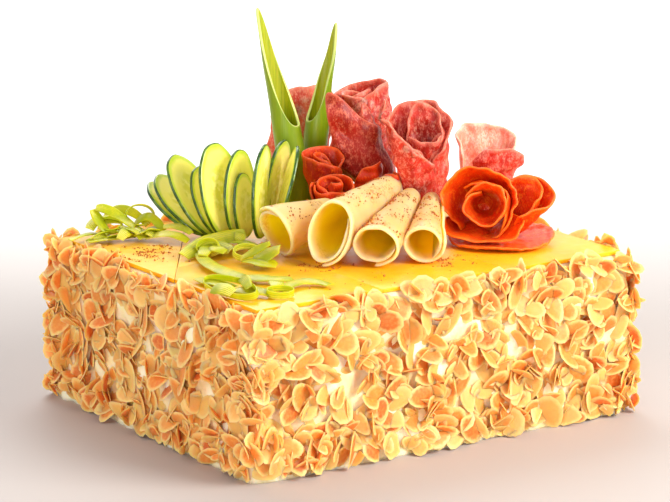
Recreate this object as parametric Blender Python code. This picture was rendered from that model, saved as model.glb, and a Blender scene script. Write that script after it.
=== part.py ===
"""Savory party cake: a block coated in cream and flaked almonds, with cheese slices, rolled cheese,
a cucumber fan, salami roses and spring onion on top.

Metres, +Z up. The origin is the middle of the underside, X runs along the long side and Y along the
short side. The toppings are laid out in a show frame, whose origin is on top of the cheese layer. It is
turned by SHOW_TURN about Z against the cake's frame, so that its -Y looks out over the cake's near corner.
"""
import math

import bmesh
import bpy
import numpy as np
from mathutils import Matrix, Vector

# The block
CAKE_LENGTH = 0.274
CAKE_WIDTH = 0.230
CAKE_HEIGHT = 0.100
EDGE_RADIUS = 0.005
LUMP_DEPTH = 0.0012
LUMP_SPACING = 0.030
WALL_ROWS = 3
COLUMN_WIDTH = 0.024
CORNER_STEPS = 3

# Flaked almonds
FLAKE_LENGTH = 0.0185
FLAKE_WIDTH = 0.0125
FLAKE_THICKNESS = 0.0018
FLAKE_SIDES = 6
FLAKE_ROWS = 5
FLAKE_SPACING = 0.031
FLAKE_REACH = 0.009
FLAKE_TOP = CAKE_HEIGHT + 0.007
CORNER_REACH = 0.011
FLAKE_LIFT = (8, 38)
FLAKE_SIZES = (0.8, 1.2)
FLAKE_PROUD = (0.0008, 0.0028)
FLAKE_STRAY = 0.2
FLAKE_CLEAR_OF_FLOOR = 0.0004
FLAKE_SEED = 11

# The cheese layer, in slices that tile the top
CHEESE_THICKNESS = 0.0024
CHEESE_INSET = 0.004
CHEESE_CUTS_X = (-0.045, 0.046)
CHEESE_CUT_Y = 0.004
CORNER_SEAM = -0.098

# Clearance between pieces that touch
GAP = 0.0003

SHOW_TURN = math.radians(-34.0)
CHEESE_TOP = CAKE_HEIGHT + GAP + CHEESE_THICKNESS
TABLE = CHEESE_TOP + GAP

# Height of a rolled sheet's middle above what it stands on, in thicknesses
SHEET_LIFT = 0.55

SALAMI_THICKNESS = 0.0016
ROLL_THICKNESS = 0.0022
CUCUMBER_LENGTH = 0.060
CUCUMBER_WIDTH = 0.036
CUCUMBER_THICKNESS = 0.0024
LEAF_THICKNESS = 0.0018
ONION_THICKNESS = 0.0016


def clear_scene():
    """Take every object out of the open scene."""
    for old in list(bpy.data.objects):
        bpy.data.objects.remove(old)


def finish(name, colour, roughness):
    """A matt or moist food surface."""
    material = bpy.data.materials.new(name)
    material.use_nodes = True
    shader = material.node_tree.nodes["Principled BSDF"]
    shader.inputs["Base Color"].default_value = (*colour, 1.0)
    shader.inputs["Roughness"].default_value = roughness
    shader.inputs["Metallic"].default_value = 0.0
    return material


def add_object(name, mesh, material, smooth=True):
    """Put a mesh into the scene under a node's name."""
    mesh.materials.append(material)
    if smooth:
        mesh.shade_smooth()
    thing = bpy.data.objects.new(name, mesh)
    bpy.context.scene.collection.objects.link(thing)
    return thing


def mesh_from(name, points, faces):
    """A mesh from rows of points and faces."""
    mesh = bpy.data.meshes.new(name)
    mesh.from_pydata([tuple(p) for p in points], [], [tuple(f) for f in faces])
    mesh.validate()
    return mesh


def to_cake(points):
    """Turn points from the show frame into the cake's frame, and lift them onto the cheese."""
    c, s = math.cos(SHOW_TURN), math.sin(SHOW_TURN)
    x, y, z = np.moveaxis(np.asarray(points, float), -1, 0)
    return np.stack([x * c - y * s, x * s + y * c, z + TABLE], -1)


def outward(mesh):
    """Make the faces of a closed mesh face out."""
    shape = bmesh.new()
    shape.from_mesh(mesh)
    bmesh.ops.recalc_face_normals(shape, faces=shape.faces)
    if shape.calc_volume(signed=True) < 0:
        bmesh.ops.reverse_faces(shape, faces=shape.faces)
    shape.to_mesh(mesh)
    shape.free()


def thicken(thing, thickness):
    """Give a sheet its thickness, half to each side."""
    solid = thing.modifiers.new("thickness", "SOLIDIFY")
    solid.thickness = thickness
    solid.offset = 0.0
    return thing


def sheet_faces(rows, columns, closed=False):
    """Triangles of a grid of points, row by row, each square cut the same way."""
    faces = []
    for r in range(rows - 1):
        for c in range(columns if closed else columns - 1):
            a = r * columns + c
            b = r * columns + (c + 1) % columns
            faces.append((a, b, b + columns))
            faces.append((a, b + columns, a + columns))
    return faces


# The block of cake with its cream coat and almonds

def block_mesh():
    """A box with rounded edges and a slightly lumpy cream coat."""
    columns_x = round(CAKE_LENGTH / COLUMN_WIDTH)
    columns_y = round(CAKE_WIDTH / COLUMN_WIDTH)
    half = np.array([CAKE_LENGTH, CAKE_WIDTH]) / 2 - EDGE_RADIUS
    outline = []
    corners = ((1, -1, -90), (1, 1, 0), (-1, 1, 90), (-1, -1, 180))
    for index, (sx, sy, start) in enumerate(corners):
        centre = half * (sx, sy)
        for k in range(CORNER_STEPS):
            angle = math.radians(start + 90 * k / (CORNER_STEPS - 1))
            outline.append(centre + EDGE_RADIUS * np.array([math.cos(angle), math.sin(angle)]))
        next_x, next_y, next_start = corners[(index + 1) % 4]
        angle = math.radians(next_start)
        here = outline[-1]
        there = half * (next_x, next_y) + EDGE_RADIUS * np.array([math.cos(angle), math.sin(angle)])
        count = columns_y if index % 2 == 0 else columns_x
        for k in range(1, count):
            outline.append(here + (there - here) * k / count)
    outline = np.array(outline)
    levels = np.linspace(0.0, CAKE_HEIGHT - EDGE_RADIUS / 2, WALL_ROWS + 1)
    pitch = math.pi / LUMP_SPACING
    rings = []
    for z in levels:
        phase = math.pi * z / LUMP_SPACING
        wave = np.sin(outline[:, 0] * pitch + phase) * np.cos(outline[:, 1] * pitch - phase)
        swell = 1 + wave * LUMP_DEPTH / (CAKE_WIDTH / 2) * (z > 0)
        rings.append(np.column_stack([outline * swell[:, None], np.full(len(outline), z)]))
    shrink = 1 - EDGE_RADIUS / 2 / np.abs(outline).max(1)
    rings.append(np.column_stack([outline * shrink[:, None], np.full(len(outline), CAKE_HEIGHT)]))
    points = np.vstack(rings)
    count = len(outline)
    faces = sheet_faces(len(rings), count, closed=True)
    faces.append(tuple(range(count - 1, -1, -1)))
    last = count * (len(rings) - 1)
    faces.append(tuple(range(last, last + count)))
    mesh = mesh_from("cake", points, faces)
    outward(mesh)
    return mesh


def flake_points(length, width, spin, lift, centre, normal, along):
    """The corners of one flake: an oval plate on a wall, spun and lifted off it at one end."""
    angles = np.arange(FLAKE_SIDES) * 2 * math.pi / FLAKE_SIDES
    x = length / 2 * np.cos(angles)
    y = width / 2 * np.sin(angles) * (1 - 0.25 * np.cos(angles))
    outline = np.column_stack([x, y, np.zeros(FLAKE_SIDES)])
    up = Vector(normal).cross(Vector(along))
    base = Matrix((Vector(along), up, Vector(normal))).transposed()
    turn = base @ Matrix.Rotation(spin, 3, "Z") @ Matrix.Rotation(lift, 3, "Y")
    low = outline - [0, 0, FLAKE_THICKNESS / 2]
    high = outline + [0, 0, FLAKE_THICKNESS / 2]
    return np.vstack([low, high]) @ np.array(turn).T + centre


def flake_mesh(points):
    """A closed plate from a flake's lower and upper corners."""
    n = FLAKE_SIDES
    faces = [tuple(range(n - 1, -1, -1)), tuple(range(n, 2 * n))]
    for k in range(n):
        m = (k + 1) % n
        faces.append((k, m, n + m, n + k))
    mesh = mesh_from("flake", points, faces)
    outward(mesh)
    return mesh


def over_cheese(points):
    """Whether a flake reaches over the cheese layer."""
    inside_x = np.abs(points[:, 0]) < CAKE_LENGTH / 2 - CHEESE_INSET + 2 * GAP
    inside_y = np.abs(points[:, 1]) < CAKE_WIDTH / 2 - CHEESE_INSET + 2 * GAP
    return bool(np.any(inside_x & inside_y & (points[:, 2] > CAKE_HEIGHT - GAP)))


def seat_flake(points, normal, distance, reach):
    """Keep a flake above the floor, off the cheese and within its reach from the wall."""
    points[:, 2] += max(0.0, FLAKE_CLEAR_OF_FLOOR - points[:, 2].min())
    points[:, 2] -= max(0.0, points[:, 2].max() - FLAKE_TOP)
    out = points @ normal
    points -= normal * max(0.0, out.max() - distance - reach)
    if over_cheese(points):
        points[:, 2] -= max(0.0, points[:, 2].max() - CAKE_HEIGHT + 2 * GAP)
    return points


def loose_flake(rng, centre, normal, along):
    """One flake of a drawn size and turn, its middle a little proud of the cream."""
    size = rng.uniform(*FLAKE_SIZES)
    spin = rng.uniform(0, 2 * math.pi)
    lift = math.radians(rng.uniform(*FLAKE_LIFT))
    proud = rng.uniform(*FLAKE_PROUD)
    return flake_points(FLAKE_LENGTH * size, FLAKE_WIDTH * size, spin, lift,
                        centre + normal * proud, normal, along)


def wall_flakes(rng):
    """Flakes spread evenly over the four walls and along the top edge, row by row."""
    walls = (
        (CAKE_LENGTH, CAKE_WIDTH / 2, (0, -1, 0), (1, 0, 0)),
        (CAKE_WIDTH, CAKE_LENGTH / 2, (1, 0, 0), (0, 1, 0)),
        (CAKE_LENGTH, CAKE_WIDTH / 2, (0, 1, 0), (-1, 0, 0)),
        (CAKE_WIDTH, CAKE_LENGTH / 2, (-1, 0, 0), (0, -1, 0)),
    )
    step = CAKE_HEIGHT / (FLAKE_ROWS - 1)
    flakes = []
    for span, distance, normal, along in walls:
        normal, along = np.array(normal, float), np.array(along, float)
        columns = round(span / FLAKE_SPACING)
        for row in range(FLAKE_ROWS):
            for column in range(columns):
                s = (column + 0.5 * (row % 2) + rng.uniform(0.1, 0.6)) / columns - 0.5
                z = (row + rng.uniform(-FLAKE_STRAY, FLAKE_STRAY)) * step
                centre = normal * distance + along * s * span + [0, 0, z]
                points = loose_flake(rng, centre, normal, along)
                flakes.append(seat_flake(points, normal, distance, FLAKE_REACH))
    return flakes


def corner_flakes(rng):
    """A column of flakes up each of the four upright edges, facing out from the corner."""
    half = np.array([CAKE_LENGTH, CAKE_WIDTH, 0]) / 2 - [EDGE_RADIUS, EDGE_RADIUS, 0]
    step = CAKE_HEIGHT / (FLAKE_ROWS - 1)
    flakes = []
    for sx, sy in ((1, -1), (1, 1), (-1, 1), (-1, -1)):
        normal = np.array([sx, sy, 0]) / math.sqrt(2)
        along = np.array([-normal[1], normal[0], 0])
        centre = half * (sx, sy, 0) + normal * EDGE_RADIUS
        for row in range(FLAKE_ROWS):
            z = (row + rng.uniform(-FLAKE_STRAY, FLAKE_STRAY)) * step
            points = loose_flake(rng, centre + [0, 0, z], normal, along)
            flakes.append(seat_flake(points, normal, centre @ normal, CORNER_REACH))
    return flakes


def keep_outer_skin(mesh):
    """Keep only the largest closed skin, which fills sealed hollows and drops loose scraps."""
    shape = bmesh.new()
    shape.from_mesh(mesh)
    left = set(shape.faces)
    islands = []
    while left:
        queue = [left.pop()]
        island = set(queue)
        while queue:
            face = queue.pop()
            for edge in face.edges:
                for other in edge.link_faces:
                    if other in left:
                        left.discard(other)
                        island.add(other)
                        queue.append(other)
        islands.append(island)
    islands.sort(key=len)
    scraps = [face for island in islands[:-1] for face in island]
    bmesh.ops.delete(shape, geom=scraps, context="FACES")
    shape.to_mesh(mesh)
    shape.free()


def fuse(core, pieces):
    """Join loose solids to a core with one union, apply it and remove the loose solids."""
    group = bpy.data.collections.new("pieces")
    bpy.context.scene.collection.children.link(group)
    for piece in pieces:
        group.objects.link(piece)
        for other in list(piece.users_collection):
            if other is not group:
                other.objects.unlink(piece)
    union = core.modifiers.new("union", "BOOLEAN")
    union.operation = "UNION"
    union.operand_type = "COLLECTION"
    union.collection = group
    graph = bpy.context.evaluated_depsgraph_get()
    joined = bpy.data.meshes.new_from_object(core.evaluated_get(graph))
    core.modifiers.clear()
    core.data = joined
    for piece in list(group.objects):
        bpy.data.objects.remove(piece)
    bpy.data.collections.remove(group)
    keep_outer_skin(joined)


def make_cake():
    """The cream-coated block with the flakes fused to its walls."""
    almond = finish("almond and cream", (0.72, 0.45, 0.22), 0.6)
    cake = add_object("cake", block_mesh(), almond, smooth=False)
    rng = np.random.default_rng(FLAKE_SEED)
    flakes = wall_flakes(rng) + corner_flakes(rng)
    fuse(cake, [add_object("flake", flake_mesh(points), almond, smooth=False) for points in flakes])


# The cheese layer

def cheese_slice(name, low, high, steps, keep_right, material):
    """One slice of the layer: a thin slab, cut along the slanting corner seam."""
    shape = bmesh.new()
    xs = np.linspace(low[0], high[0], steps + 1)
    ys = np.linspace(low[1], high[1], steps + 1)
    middle = CAKE_HEIGHT + GAP + CHEESE_THICKNESS / 2
    grid = [[shape.verts.new((x, y, middle)) for x in xs] for y in ys]
    for r in range(steps):
        for c in range(steps):
            shape.faces.new((grid[r][c], grid[r][c + 1], grid[r + 1][c + 1], grid[r + 1][c]))
    turn = Matrix.Rotation(SHOW_TURN, 3, "Z")
    side = 1 if keep_right else -1
    everything = list(shape.verts) + list(shape.edges) + list(shape.faces)
    bmesh.ops.bisect_plane(shape, geom=everything, plane_co=turn @ Vector((CORNER_SEAM + side * GAP, 0, 0)),
                           plane_no=turn @ Vector((-side, 0, 0)), clear_outer=True)
    bmesh.ops.triangulate(shape, faces=shape.faces)
    mesh = bpy.data.meshes.new(name)
    shape.to_mesh(mesh)
    shape.free()
    return thicken(add_object(name, mesh, material, smooth=False), CHEESE_THICKNESS)


def make_cheese_layer():
    """Six slices in two rows, with the slanting corner slice at the left."""
    cheese = finish("sliced cheese", (0.95, 0.60, 0.09), 0.3)
    half_x = CAKE_LENGTH / 2 - CHEESE_INSET
    half_y = CAKE_WIDTH / 2 - CHEESE_INSET
    xs = (-half_x, *CHEESE_CUTS_X, half_x)
    ys = (-half_y, CHEESE_CUT_Y, half_y)
    for j, row in enumerate(("front", "back")):
        for i, column in enumerate(("left", "middle", "right")):
            low = (xs[i] + GAP, ys[j] + GAP)
            high = (xs[i + 1] - GAP, ys[j + 1] - GAP)
            cheese_slice("cheese_slice_%s_%s" % (row, column), low, high, 2, True, cheese)
    cheese_slice("cheese_slice_corner", (-half_x, -half_y), (half_x, half_y), 2, False, cheese)


# Sheets rolled round an axis: cheese rolls, salami slices and spring-onion leaves

def wrap_points(u, v, foot, head, foot_radius, head_radius, start, sweep, pitch=0.0, flare=1.0,
                tilt=(0, 0.0), peak=(0, 0.0, 30), ripple=(0.0, 3, 0), fall=0.0):
    """A sheet rolled round the line from foot to head.

    u runs 0 to 1 round the axis, from the start angle through the sweep, in degrees, where 0 is the
    show frame's right and 90 its back for an upright axis. v runs 0 to 1 from the foot to the rim.
    The radius goes from foot_radius to head_radius as v to the power of flare, waves by ripple (depth,
    waves, phase) towards the rim, and grows by pitch a full turn, so that a second turn lies clear of
    the first. The rim stands higher by tilt towards one angle and by peak (angle, height, width) in a
    spike, and is cut back at both free edges, as the rim of a round slice is when it is rolled up.
    """
    u, v = np.broadcast_arrays(np.asarray(u, float), np.asarray(v, float))
    foot, head = np.asarray(foot, float), np.asarray(head, float)
    axis = head - foot
    ahead = axis / np.linalg.norm(axis)
    side = np.array([1.0, 0.0, 0.0]) - ahead[0] * ahead
    side /= np.linalg.norm(side)
    back = np.cross(ahead, side)
    degrees = start + sweep * u
    angle = np.radians(degrees)
    off_peak = (degrees - peak[0] + 180) % 360 - 180
    rim = 1 + tilt[1] * np.cos(angle - math.radians(tilt[0])) + peak[1] * np.exp(-(off_peak / peak[2]) ** 2)
    v = v * (1 - fall * np.abs(2 * u - 1) ** 3)
    wide, deep = np.broadcast_to(np.asarray(head_radius, float), (2,))
    wave = 1 + ripple[0] * v ** 2 * np.sin(ripple[1] * angle + math.radians(ripple[2]))
    wound = pitch * abs(sweep) / 360 * u
    across = ((foot_radius + (wide - foot_radius) * v ** flare) * wave + wound) * np.cos(angle)
    back_by = ((foot_radius + (deep - foot_radius) * v ** flare) * wave + wound) * np.sin(angle)
    along = v * rim
    return foot + along[..., None] * axis + across[..., None] * side + back_by[..., None] * back


def wrap(name, material, thickness, columns, rows, floor=0.0, **shape):
    """One rolled sheet as a node, lowered until it stands on the floor given."""
    u = np.linspace(0, 1, columns)
    v = np.linspace(0, 1, rows)
    points = wrap_points(u[None, :], v[:, None], **shape).reshape(-1, 3)
    points[:, 2] += floor + SHEET_LIFT * thickness - points[:, 2].min()
    mesh = mesh_from(name, to_cake(points), sheet_faces(rows, columns))
    return thicken(add_object(name, mesh, material), thickness)


def make_cheese_rolls():
    """Four slices of pale cheese rolled into cones that lie side by side, mouths to the front."""
    cheese = finish("rolled cheese", (0.93, 0.72, 0.36), 0.4)
    common = dict(material=cheese, thickness=ROLL_THICKNESS, columns=19, rows=4)
    wrap("cheese_roll_1", foot=(-0.006, -0.008, 0.0215), head=(-0.040, -0.040, 0.0160),
         foot_radius=0.0050, head_radius=(0.0117, 0.0139), start=60, sweep=432, pitch=0.0026,
         tilt=(90, 0.10), **common)
    wrap("cheese_roll_2", foot=(0.032, 0.022, 0.0300), head=(-0.0075, -0.060, 0.0185),
         foot_radius=0.0047, head_radius=(0.0112, 0.0144), start=60, sweep=432, pitch=0.0026,
         tilt=(90, -0.10), **common)
    wrap("cheese_roll_3", foot=(0.0440, 0.012, 0.0270), head=(0.0205, -0.068, 0.0135),
         foot_radius=0.0032, head_radius=(0.0117, 0.0095), start=60, sweep=432, pitch=0.0026, **common)
    wrap("cheese_roll_4", foot=(0.0575, 0.010, 0.0260), head=(0.0500, -0.058, 0.0130),
         foot_radius=0.0032, head_radius=(0.0094, 0.0092), start=-60, sweep=432, pitch=0.0026, **common)


def make_salami():
    """Seven pink slices folded into cones behind, and two roses of red slices in front."""
    pink = finish("pink salami", (0.62, 0.10, 0.09), 0.45)
    red = finish("paprika salami", (0.70, 0.10, 0.015), 0.4)
    soft = dict(thickness=SALAMI_THICKNESS, columns=15, rows=4, fall=0.3)
    wrap("salami_pink_1", pink, foot=(-0.020, 0.104, 0.0), head=(-0.028, 0.100, 0.0810),
         foot_radius=0.006, head_radius=(0.025, 0.010), start=140, sweep=260, flare=0.8,
         ripple=(0.10, 3, 0), peak=(180, -0.42, 45), **soft)
    wrap("salami_pink_2", pink, foot=(0.036, 0.060, 0.0), head=(0.007, 0.060, 0.0550),
         foot_radius=0.005, head_radius=(0.018, 0.016), start=150, sweep=230, flare=0.7,
         peak=(272, 0.52, 34), **soft)
    wrap("salami_pink_3", pink, foot=(0.032, 0.086, 0.0), head=(0.012, 0.084, 0.0810),
         foot_radius=0.005, head_radius=(0.0155, 0.0125), start=200, sweep=420, pitch=0.0022, flare=0.8,
         ripple=(0.08, 3, 40), **soft)
    wrap("salami_pink_4", pink, foot=(0.056, 0.046, 0.0), head=(0.047, 0.038, 0.0690),
         foot_radius=0.006, head_radius=(0.020, 0.016), start=215, sweep=-280, pitch=0.0020, flare=0.7,
         tilt=(90, 0.10), peak=(188, 0.45, 16), **soft)
    wrap("salami_pink_5", pink, foot=(0.054, 0.031, 0.0), head=(0.0425, 0.014, 0.0620),
         foot_radius=0.004, head_radius=(0.0125, 0.0085), start=90, sweep=330, flare=0.8,
         tilt=(180, 0.28), **soft)
    wrap("salami_pink_6", pink, foot=(0.086, 0.064, 0.0), head=(0.094, 0.056, 0.0590),
         foot_radius=0.008, head_radius=(0.017, 0.012), start=-20, sweep=220, flare=0.8,
         ripple=(0.10, 3, 30), **soft)
    wrap("salami_pink_7", pink, foot=(0.096, 0.044, 0.0), head=(0.100, 0.041, 0.0520),
         foot_radius=0.005, head_radius=(0.015, 0.008), start=180, sweep=200, flare=0.8, **soft)
    wrap("salami_red_1", red, foot=(-0.008, 0.042, 0.0), head=(-0.010, 0.034, 0.0490),
         foot_radius=0.0035, head_radius=(0.0121, 0.0111), start=-60, sweep=420, pitch=0.0020, flare=0.9,
         **soft)
    wrap("salami_red_2", red, foot=(-0.004, 0.018, 0.0), head=(-0.005, 0.006, 0.0350),
         foot_radius=0.0032, head_radius=(0.0121, 0.0100), start=150, sweep=420, pitch=0.0020, flare=0.9,
         peak=(180, 0.20, 25), **soft)
    wrap("salami_red_3", red, foot=(0.014, 0.036, 0.0), head=(0.012, 0.030, 0.0450),
         foot_radius=0.008, head_radius=(0.014, 0.012), start=-110, sweep=140, flare=0.9, **soft)
    on_base = 2.2 * SALAMI_THICKNESS
    wrap("salami_red_4", red, foot=(0.0895, 0.024, 0.0190), head=(0.0860, -0.010, 0.0295), floor=on_base,
         foot_radius=0.005, head_radius=(0.0220, 0.0240), start=-95, sweep=325, flare=0.6,
         ripple=(0.06, 3, 0), **soft)
    wrap("salami_red_5", red, foot=(0.090, 0.012, 0.0200), head=(0.0885, -0.018, 0.0245),
         floor=on_base + 0.0105,
         foot_radius=0.0036, head_radius=(0.0125, 0.0110), start=100, sweep=420, pitch=0.0020, flare=0.7,
         **soft)
    wrap("salami_red_6", red, foot=(0.104, 0.012, 0.0), head=(0.113, 0.000, 0.0270), floor=on_base,
         foot_radius=0.007, head_radius=(0.020, 0.017), start=-90, sweep=200, flare=0.7,
         tilt=(90, 0.10), **soft)
    base_slice("salami_red_base", red)


def base_slice(name, material):
    """The red slice that lies flat on the cheese under the right rose, with a wavy rim."""
    centre = np.array([0.100, 0.003])
    radius = 0.033
    rings, sides = 2, 18
    points = [(centre[0], centre[1], SALAMI_THICKNESS / 2)]
    for ring in range(1, rings + 1):
        for k in range(sides):
            angle = 2 * math.pi * k / sides
            r = radius * ring / rings
            wave = 0.0008 * (ring / rings) ** 2 * (1 + math.sin(3 * angle + 0.6))
            points.append((centre[0] + r * math.cos(angle), centre[1] + r * math.sin(angle),
                           SALAMI_THICKNESS / 2 + wave))
    mesh = mesh_from(name, to_cake(points), disc_faces(rings, sides))
    thicken(add_object(name, mesh, material), SALAMI_THICKNESS)


def disc_faces(rings, sides):
    """Triangles of a disc: a fan round the middle point, then rings of cut squares."""
    faces = [(0, 1 + k, 1 + (k + 1) % sides) for k in range(sides)]
    for ring in range(rings - 1):
        inner, outer = 1 + ring * sides, 1 + (ring + 1) * sides
        for k in range(sides):
            m = (k + 1) % sides
            faces.append((inner + k, outer + k, outer + m))
            faces.append((inner + k, outer + m, inner + m))
    return faces


# The cucumber fan

def slice_points(radii, angles, pivot, tip, turn, size):
    """A long oval slice standing on its pivot and leaning towards tip, its face turned in plan."""
    pivot, tip = np.asarray(pivot, float), np.asarray(tip, float)
    tall = (tip - pivot) / np.linalg.norm(tip - pivot)
    yaw = math.radians(turn)
    wide = np.array([-math.cos(yaw), -math.sin(yaw), 0.0])
    wide -= wide @ tall * tall
    wide /= np.linalg.norm(wide)
    centre = pivot + tall * CUCUMBER_LENGTH * size / 2
    t = radii * np.cos(angles) * CUCUMBER_LENGTH * size / 2
    w = radii * np.sin(angles) * CUCUMBER_WIDTH * size / 2
    return centre + t[..., None] * tall + w[..., None] * wide


# Each slice: the foot, the point that it leans towards, the turn of its face and its size
CUCUMBER_FAN = (
    ((-0.0850, 0.0140, 0.0020), (-0.1150, 0.038, 0.0270), 60, 0.86),
    ((-0.0810, 0.0120, 0.0020), (-0.1090, 0.032, 0.0310), 57, 0.88),
    ((-0.0770, 0.0100, 0.0020), (-0.1000, 0.026, 0.0430), 54, 0.97),
    ((-0.0730, 0.0080, 0.0020), (-0.0890, 0.020, 0.0450), 52, 0.78),
    ((-0.0690, 0.0060, 0.0020), (-0.0785, 0.014, 0.0590), 50, 1.00),
    ((-0.0625, 0.0060, 0.0020), (-0.0620, 0.020, 0.0590), 58, 0.92),
    ((-0.0580, 0.0052, 0.0020), (-0.0615, 0.012, 0.0470), 62, 0.68),
    ((-0.0515, 0.0040, 0.0020), (-0.0485, 0.012, 0.0600), 74, 0.98),
    ((-0.0420, 0.0285, 0.0020), (-0.0320, 0.035, 0.0610), 71, 0.96),
    ((-0.0410, 0.0075, 0.0020), (-0.0260, 0.015, 0.0600), 95, 0.98),
)


def make_cucumber():
    """Ten oblique slices stood up in a fan."""
    green = finish("cucumber", (0.50, 0.62, 0.18), 0.3)
    sides = 12
    angles = 2 * math.pi * np.arange(sides) / sides
    radii = np.concatenate([[0], np.full(sides, 0.55), np.ones(sides)])
    angles = np.concatenate([[0], angles, angles])
    for index, (pivot, tip, turn, size) in enumerate(CUCUMBER_FAN):
        name = "cucumber_slice_%02d" % (index + 1)
        points = slice_points(radii, angles, pivot, tip, turn, size)
        mesh = mesh_from(name, to_cake(points), disc_faces(2, sides))
        thicken(add_object(name, mesh, green), CUCUMBER_THICKNESS)


# Spring onion: two hollow leaves cut to a point, and heaps of rings and strips

def leaf_points(u, v, foot, head, radius, taper, point_angle, low, power, bow):
    """A hollow leaf: a tube cut aslant, its rim highest towards point_angle and lowest opposite."""
    angle = 2 * math.pi * u
    foot, head, bow = (np.asarray(p, float) for p in (foot, head, bow))
    rim = low + (1 - low) * ((1 + np.cos(angle - math.radians(point_angle))) / 2) ** power
    along = v * rim
    r = radius * (1 - taper * along)
    axis = foot + along[..., None] * (head - foot) + (along ** 2)[..., None] * bow
    ring = np.stack([r * np.cos(angle), r * np.sin(angle), np.zeros_like(r)], -1)
    return axis + ring


def make_leaves():
    """The two leaves, each an open tube with a slanting cut."""
    green = finish("spring onion leaf", (0.22, 0.42, 0.03), 0.35)
    leaves = (
        ("leaf_left", dict(foot=(-0.0240, 0.058, 0.0006), head=(-0.0440, 0.058, 0.1380), radius=0.0098,
                           taper=0.42, point_angle=150, low=0.46, power=1.5, bow=(-0.003, 0, 0))),
        ("leaf_right", dict(foot=(-0.0210, 0.078, 0.0006), head=(-0.0070, 0.078, 0.1255), radius=0.0085,
                            taper=0.42, point_angle=30, low=0.50, power=1.5, bow=(0.001, 0, 0))),
    )
    columns, rows = 10, 6
    for name, shape in leaves:
        u, v = np.meshgrid(np.arange(columns) / columns, np.linspace(0, 1, rows))
        points = leaf_points(u, v, **shape).reshape(-1, 3)
        mesh = mesh_from(name, to_cake(points), sheet_faces(rows, columns, closed=True))
        thicken(add_object(name, mesh, green), LEAF_THICKNESS)


def strip_mesh(start, middle, end, width, thickness, turn=0.0, steps=5):
    """A curved flat strip through three points, with pointed ends; turn rolls it on edge."""
    start, middle, end = (np.asarray(p, float) for p in (start, middle, end))
    t = np.linspace(0, 1, steps)[:, None]
    line = (1 - t) ** 2 * start + 2 * t * (1 - t) * (2 * middle - (start + end) / 2) + t ** 2 * end
    ahead = np.gradient(line, axis=0)
    ahead /= np.linalg.norm(ahead, axis=1)[:, None]
    side = np.cross([0, 0, 1.0], ahead)
    side /= np.linalg.norm(side, axis=1)[:, None]
    over = np.cross(ahead, side)
    c, s = math.cos(turn), math.sin(turn)
    side, over = side * c + over * s, over * c - side * s
    half = width / 2 * (0.45 + 0.55 * np.sin(math.pi * t))
    rows = [line + a * half * side + b * thickness / 2 * over
            for a, b in ((-1, -1), (1, -1), (1, 1), (-1, 1))]
    points = np.stack(rows, 1).reshape(-1, 3)
    faces = sheet_faces(steps, 4, closed=True)
    faces += [(3, 2, 1, 0), tuple(range(4 * steps - 4, 4 * steps))]
    mesh = mesh_from("strip", to_cake(points), faces)
    outward(mesh)
    return mesh


def ring_mesh(centre, radius, width, thickness, lean, turn, sides=9):
    """A ring cut from the stem: a short flat tube that leans over and is turned in plan."""
    angles = 2 * math.pi * np.arange(sides) / sides
    tilt = np.array((Matrix.Rotation(turn, 3, "Z") @ Matrix.Rotation(lean, 3, "X")))
    rows = []
    for dr, dz in ((0, -1), (1, -1), (1, 1), (0, 1)):
        r = radius - thickness * (1 - dr)
        rows.append(np.column_stack([r * np.cos(angles), 0.8 * r * np.sin(angles),
                                     np.full(sides, dz * width / 2)]))
    points = np.vstack(rows) @ tilt.T + np.asarray(centre, float)
    faces = []
    for a in range(4):
        for k in range(sides):
            m, b = (k + 1) % sides, (a + 1) % 4
            faces.append((a * sides + k, a * sides + m, b * sides + m, b * sides + k))
    mesh = mesh_from("ring", to_cake(points), faces)
    outward(mesh)
    return mesh


def mound_mesh(centre, size, height, sides=12):
    """The core of a heap: a low mound with a flat underside."""
    angles = 2 * math.pi * np.arange(sides) / sides
    rows = []
    for spread, rise in ((1.0, 0.0), (0.92, 0.55), (0.55, 1.0)):
        bump = 1 + 0.08 * np.sin(3 * angles + rise * 2)
        rows.append(np.column_stack([centre[0] + size[0] * spread * bump * np.cos(angles),
                                     centre[1] + size[1] * spread * bump * np.sin(angles),
                                     np.full(sides, height * rise)]))
    faces = sheet_faces(3, sides, closed=True)
    faces += [tuple(range(sides - 1, -1, -1)), tuple(range(2 * sides, 3 * sides))]
    mesh = mesh_from("mound", to_cake(np.vstack(rows)), faces)
    outward(mesh)
    return mesh


ONION_LEFT = dict(
    mound=((-0.133, 0.016), (0.024, 0.012), 0.0055),
    strips=(
        ((-0.156, -0.004, 0.0020), (-0.141, 0.004, 0.0022), (-0.122, 0.016, 0.0020), 0.006, 0.0),
        ((-0.152, 0.016, 0.0190), (-0.142, 0.014, 0.0170), (-0.128, 0.014, 0.0070), 0.005, 0.8),
        ((-0.154, 0.016, 0.0180), (-0.150, 0.014, 0.0110), (-0.144, 0.012, 0.0030), 0.006, 0.3),
        ((-0.110, 0.010, 0.0080), (-0.100, 0.007, 0.0090), (-0.092, 0.000, 0.0030), 0.004, 0.5),
        ((-0.120, 0.006, 0.0020), (-0.106, 0.000, 0.0030), (-0.094, -0.004, 0.0020), 0.007, 0.2),
        ((-0.156, 0.012, 0.0030), (-0.150, 0.020, 0.0070), (-0.136, 0.020, 0.0090), 0.006, 0.4),
        ((-0.150, 0.024, 0.0030), (-0.138, 0.030, 0.0150), (-0.120, 0.024, 0.0060), 0.005, 0.7),
        ((-0.130, 0.022, 0.0040), (-0.120, 0.018, 0.0130), (-0.110, 0.012, 0.0050), 0.005, 0.6),
    ),
    rings=(
        ((-0.125, 0.020, 0.0135), 0.0085, 0.0050, 1.2, 0.3),
        ((-0.143, 0.016, 0.0080), 0.0070, 0.0050, 0.7, -0.3),
    ),
)
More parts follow.
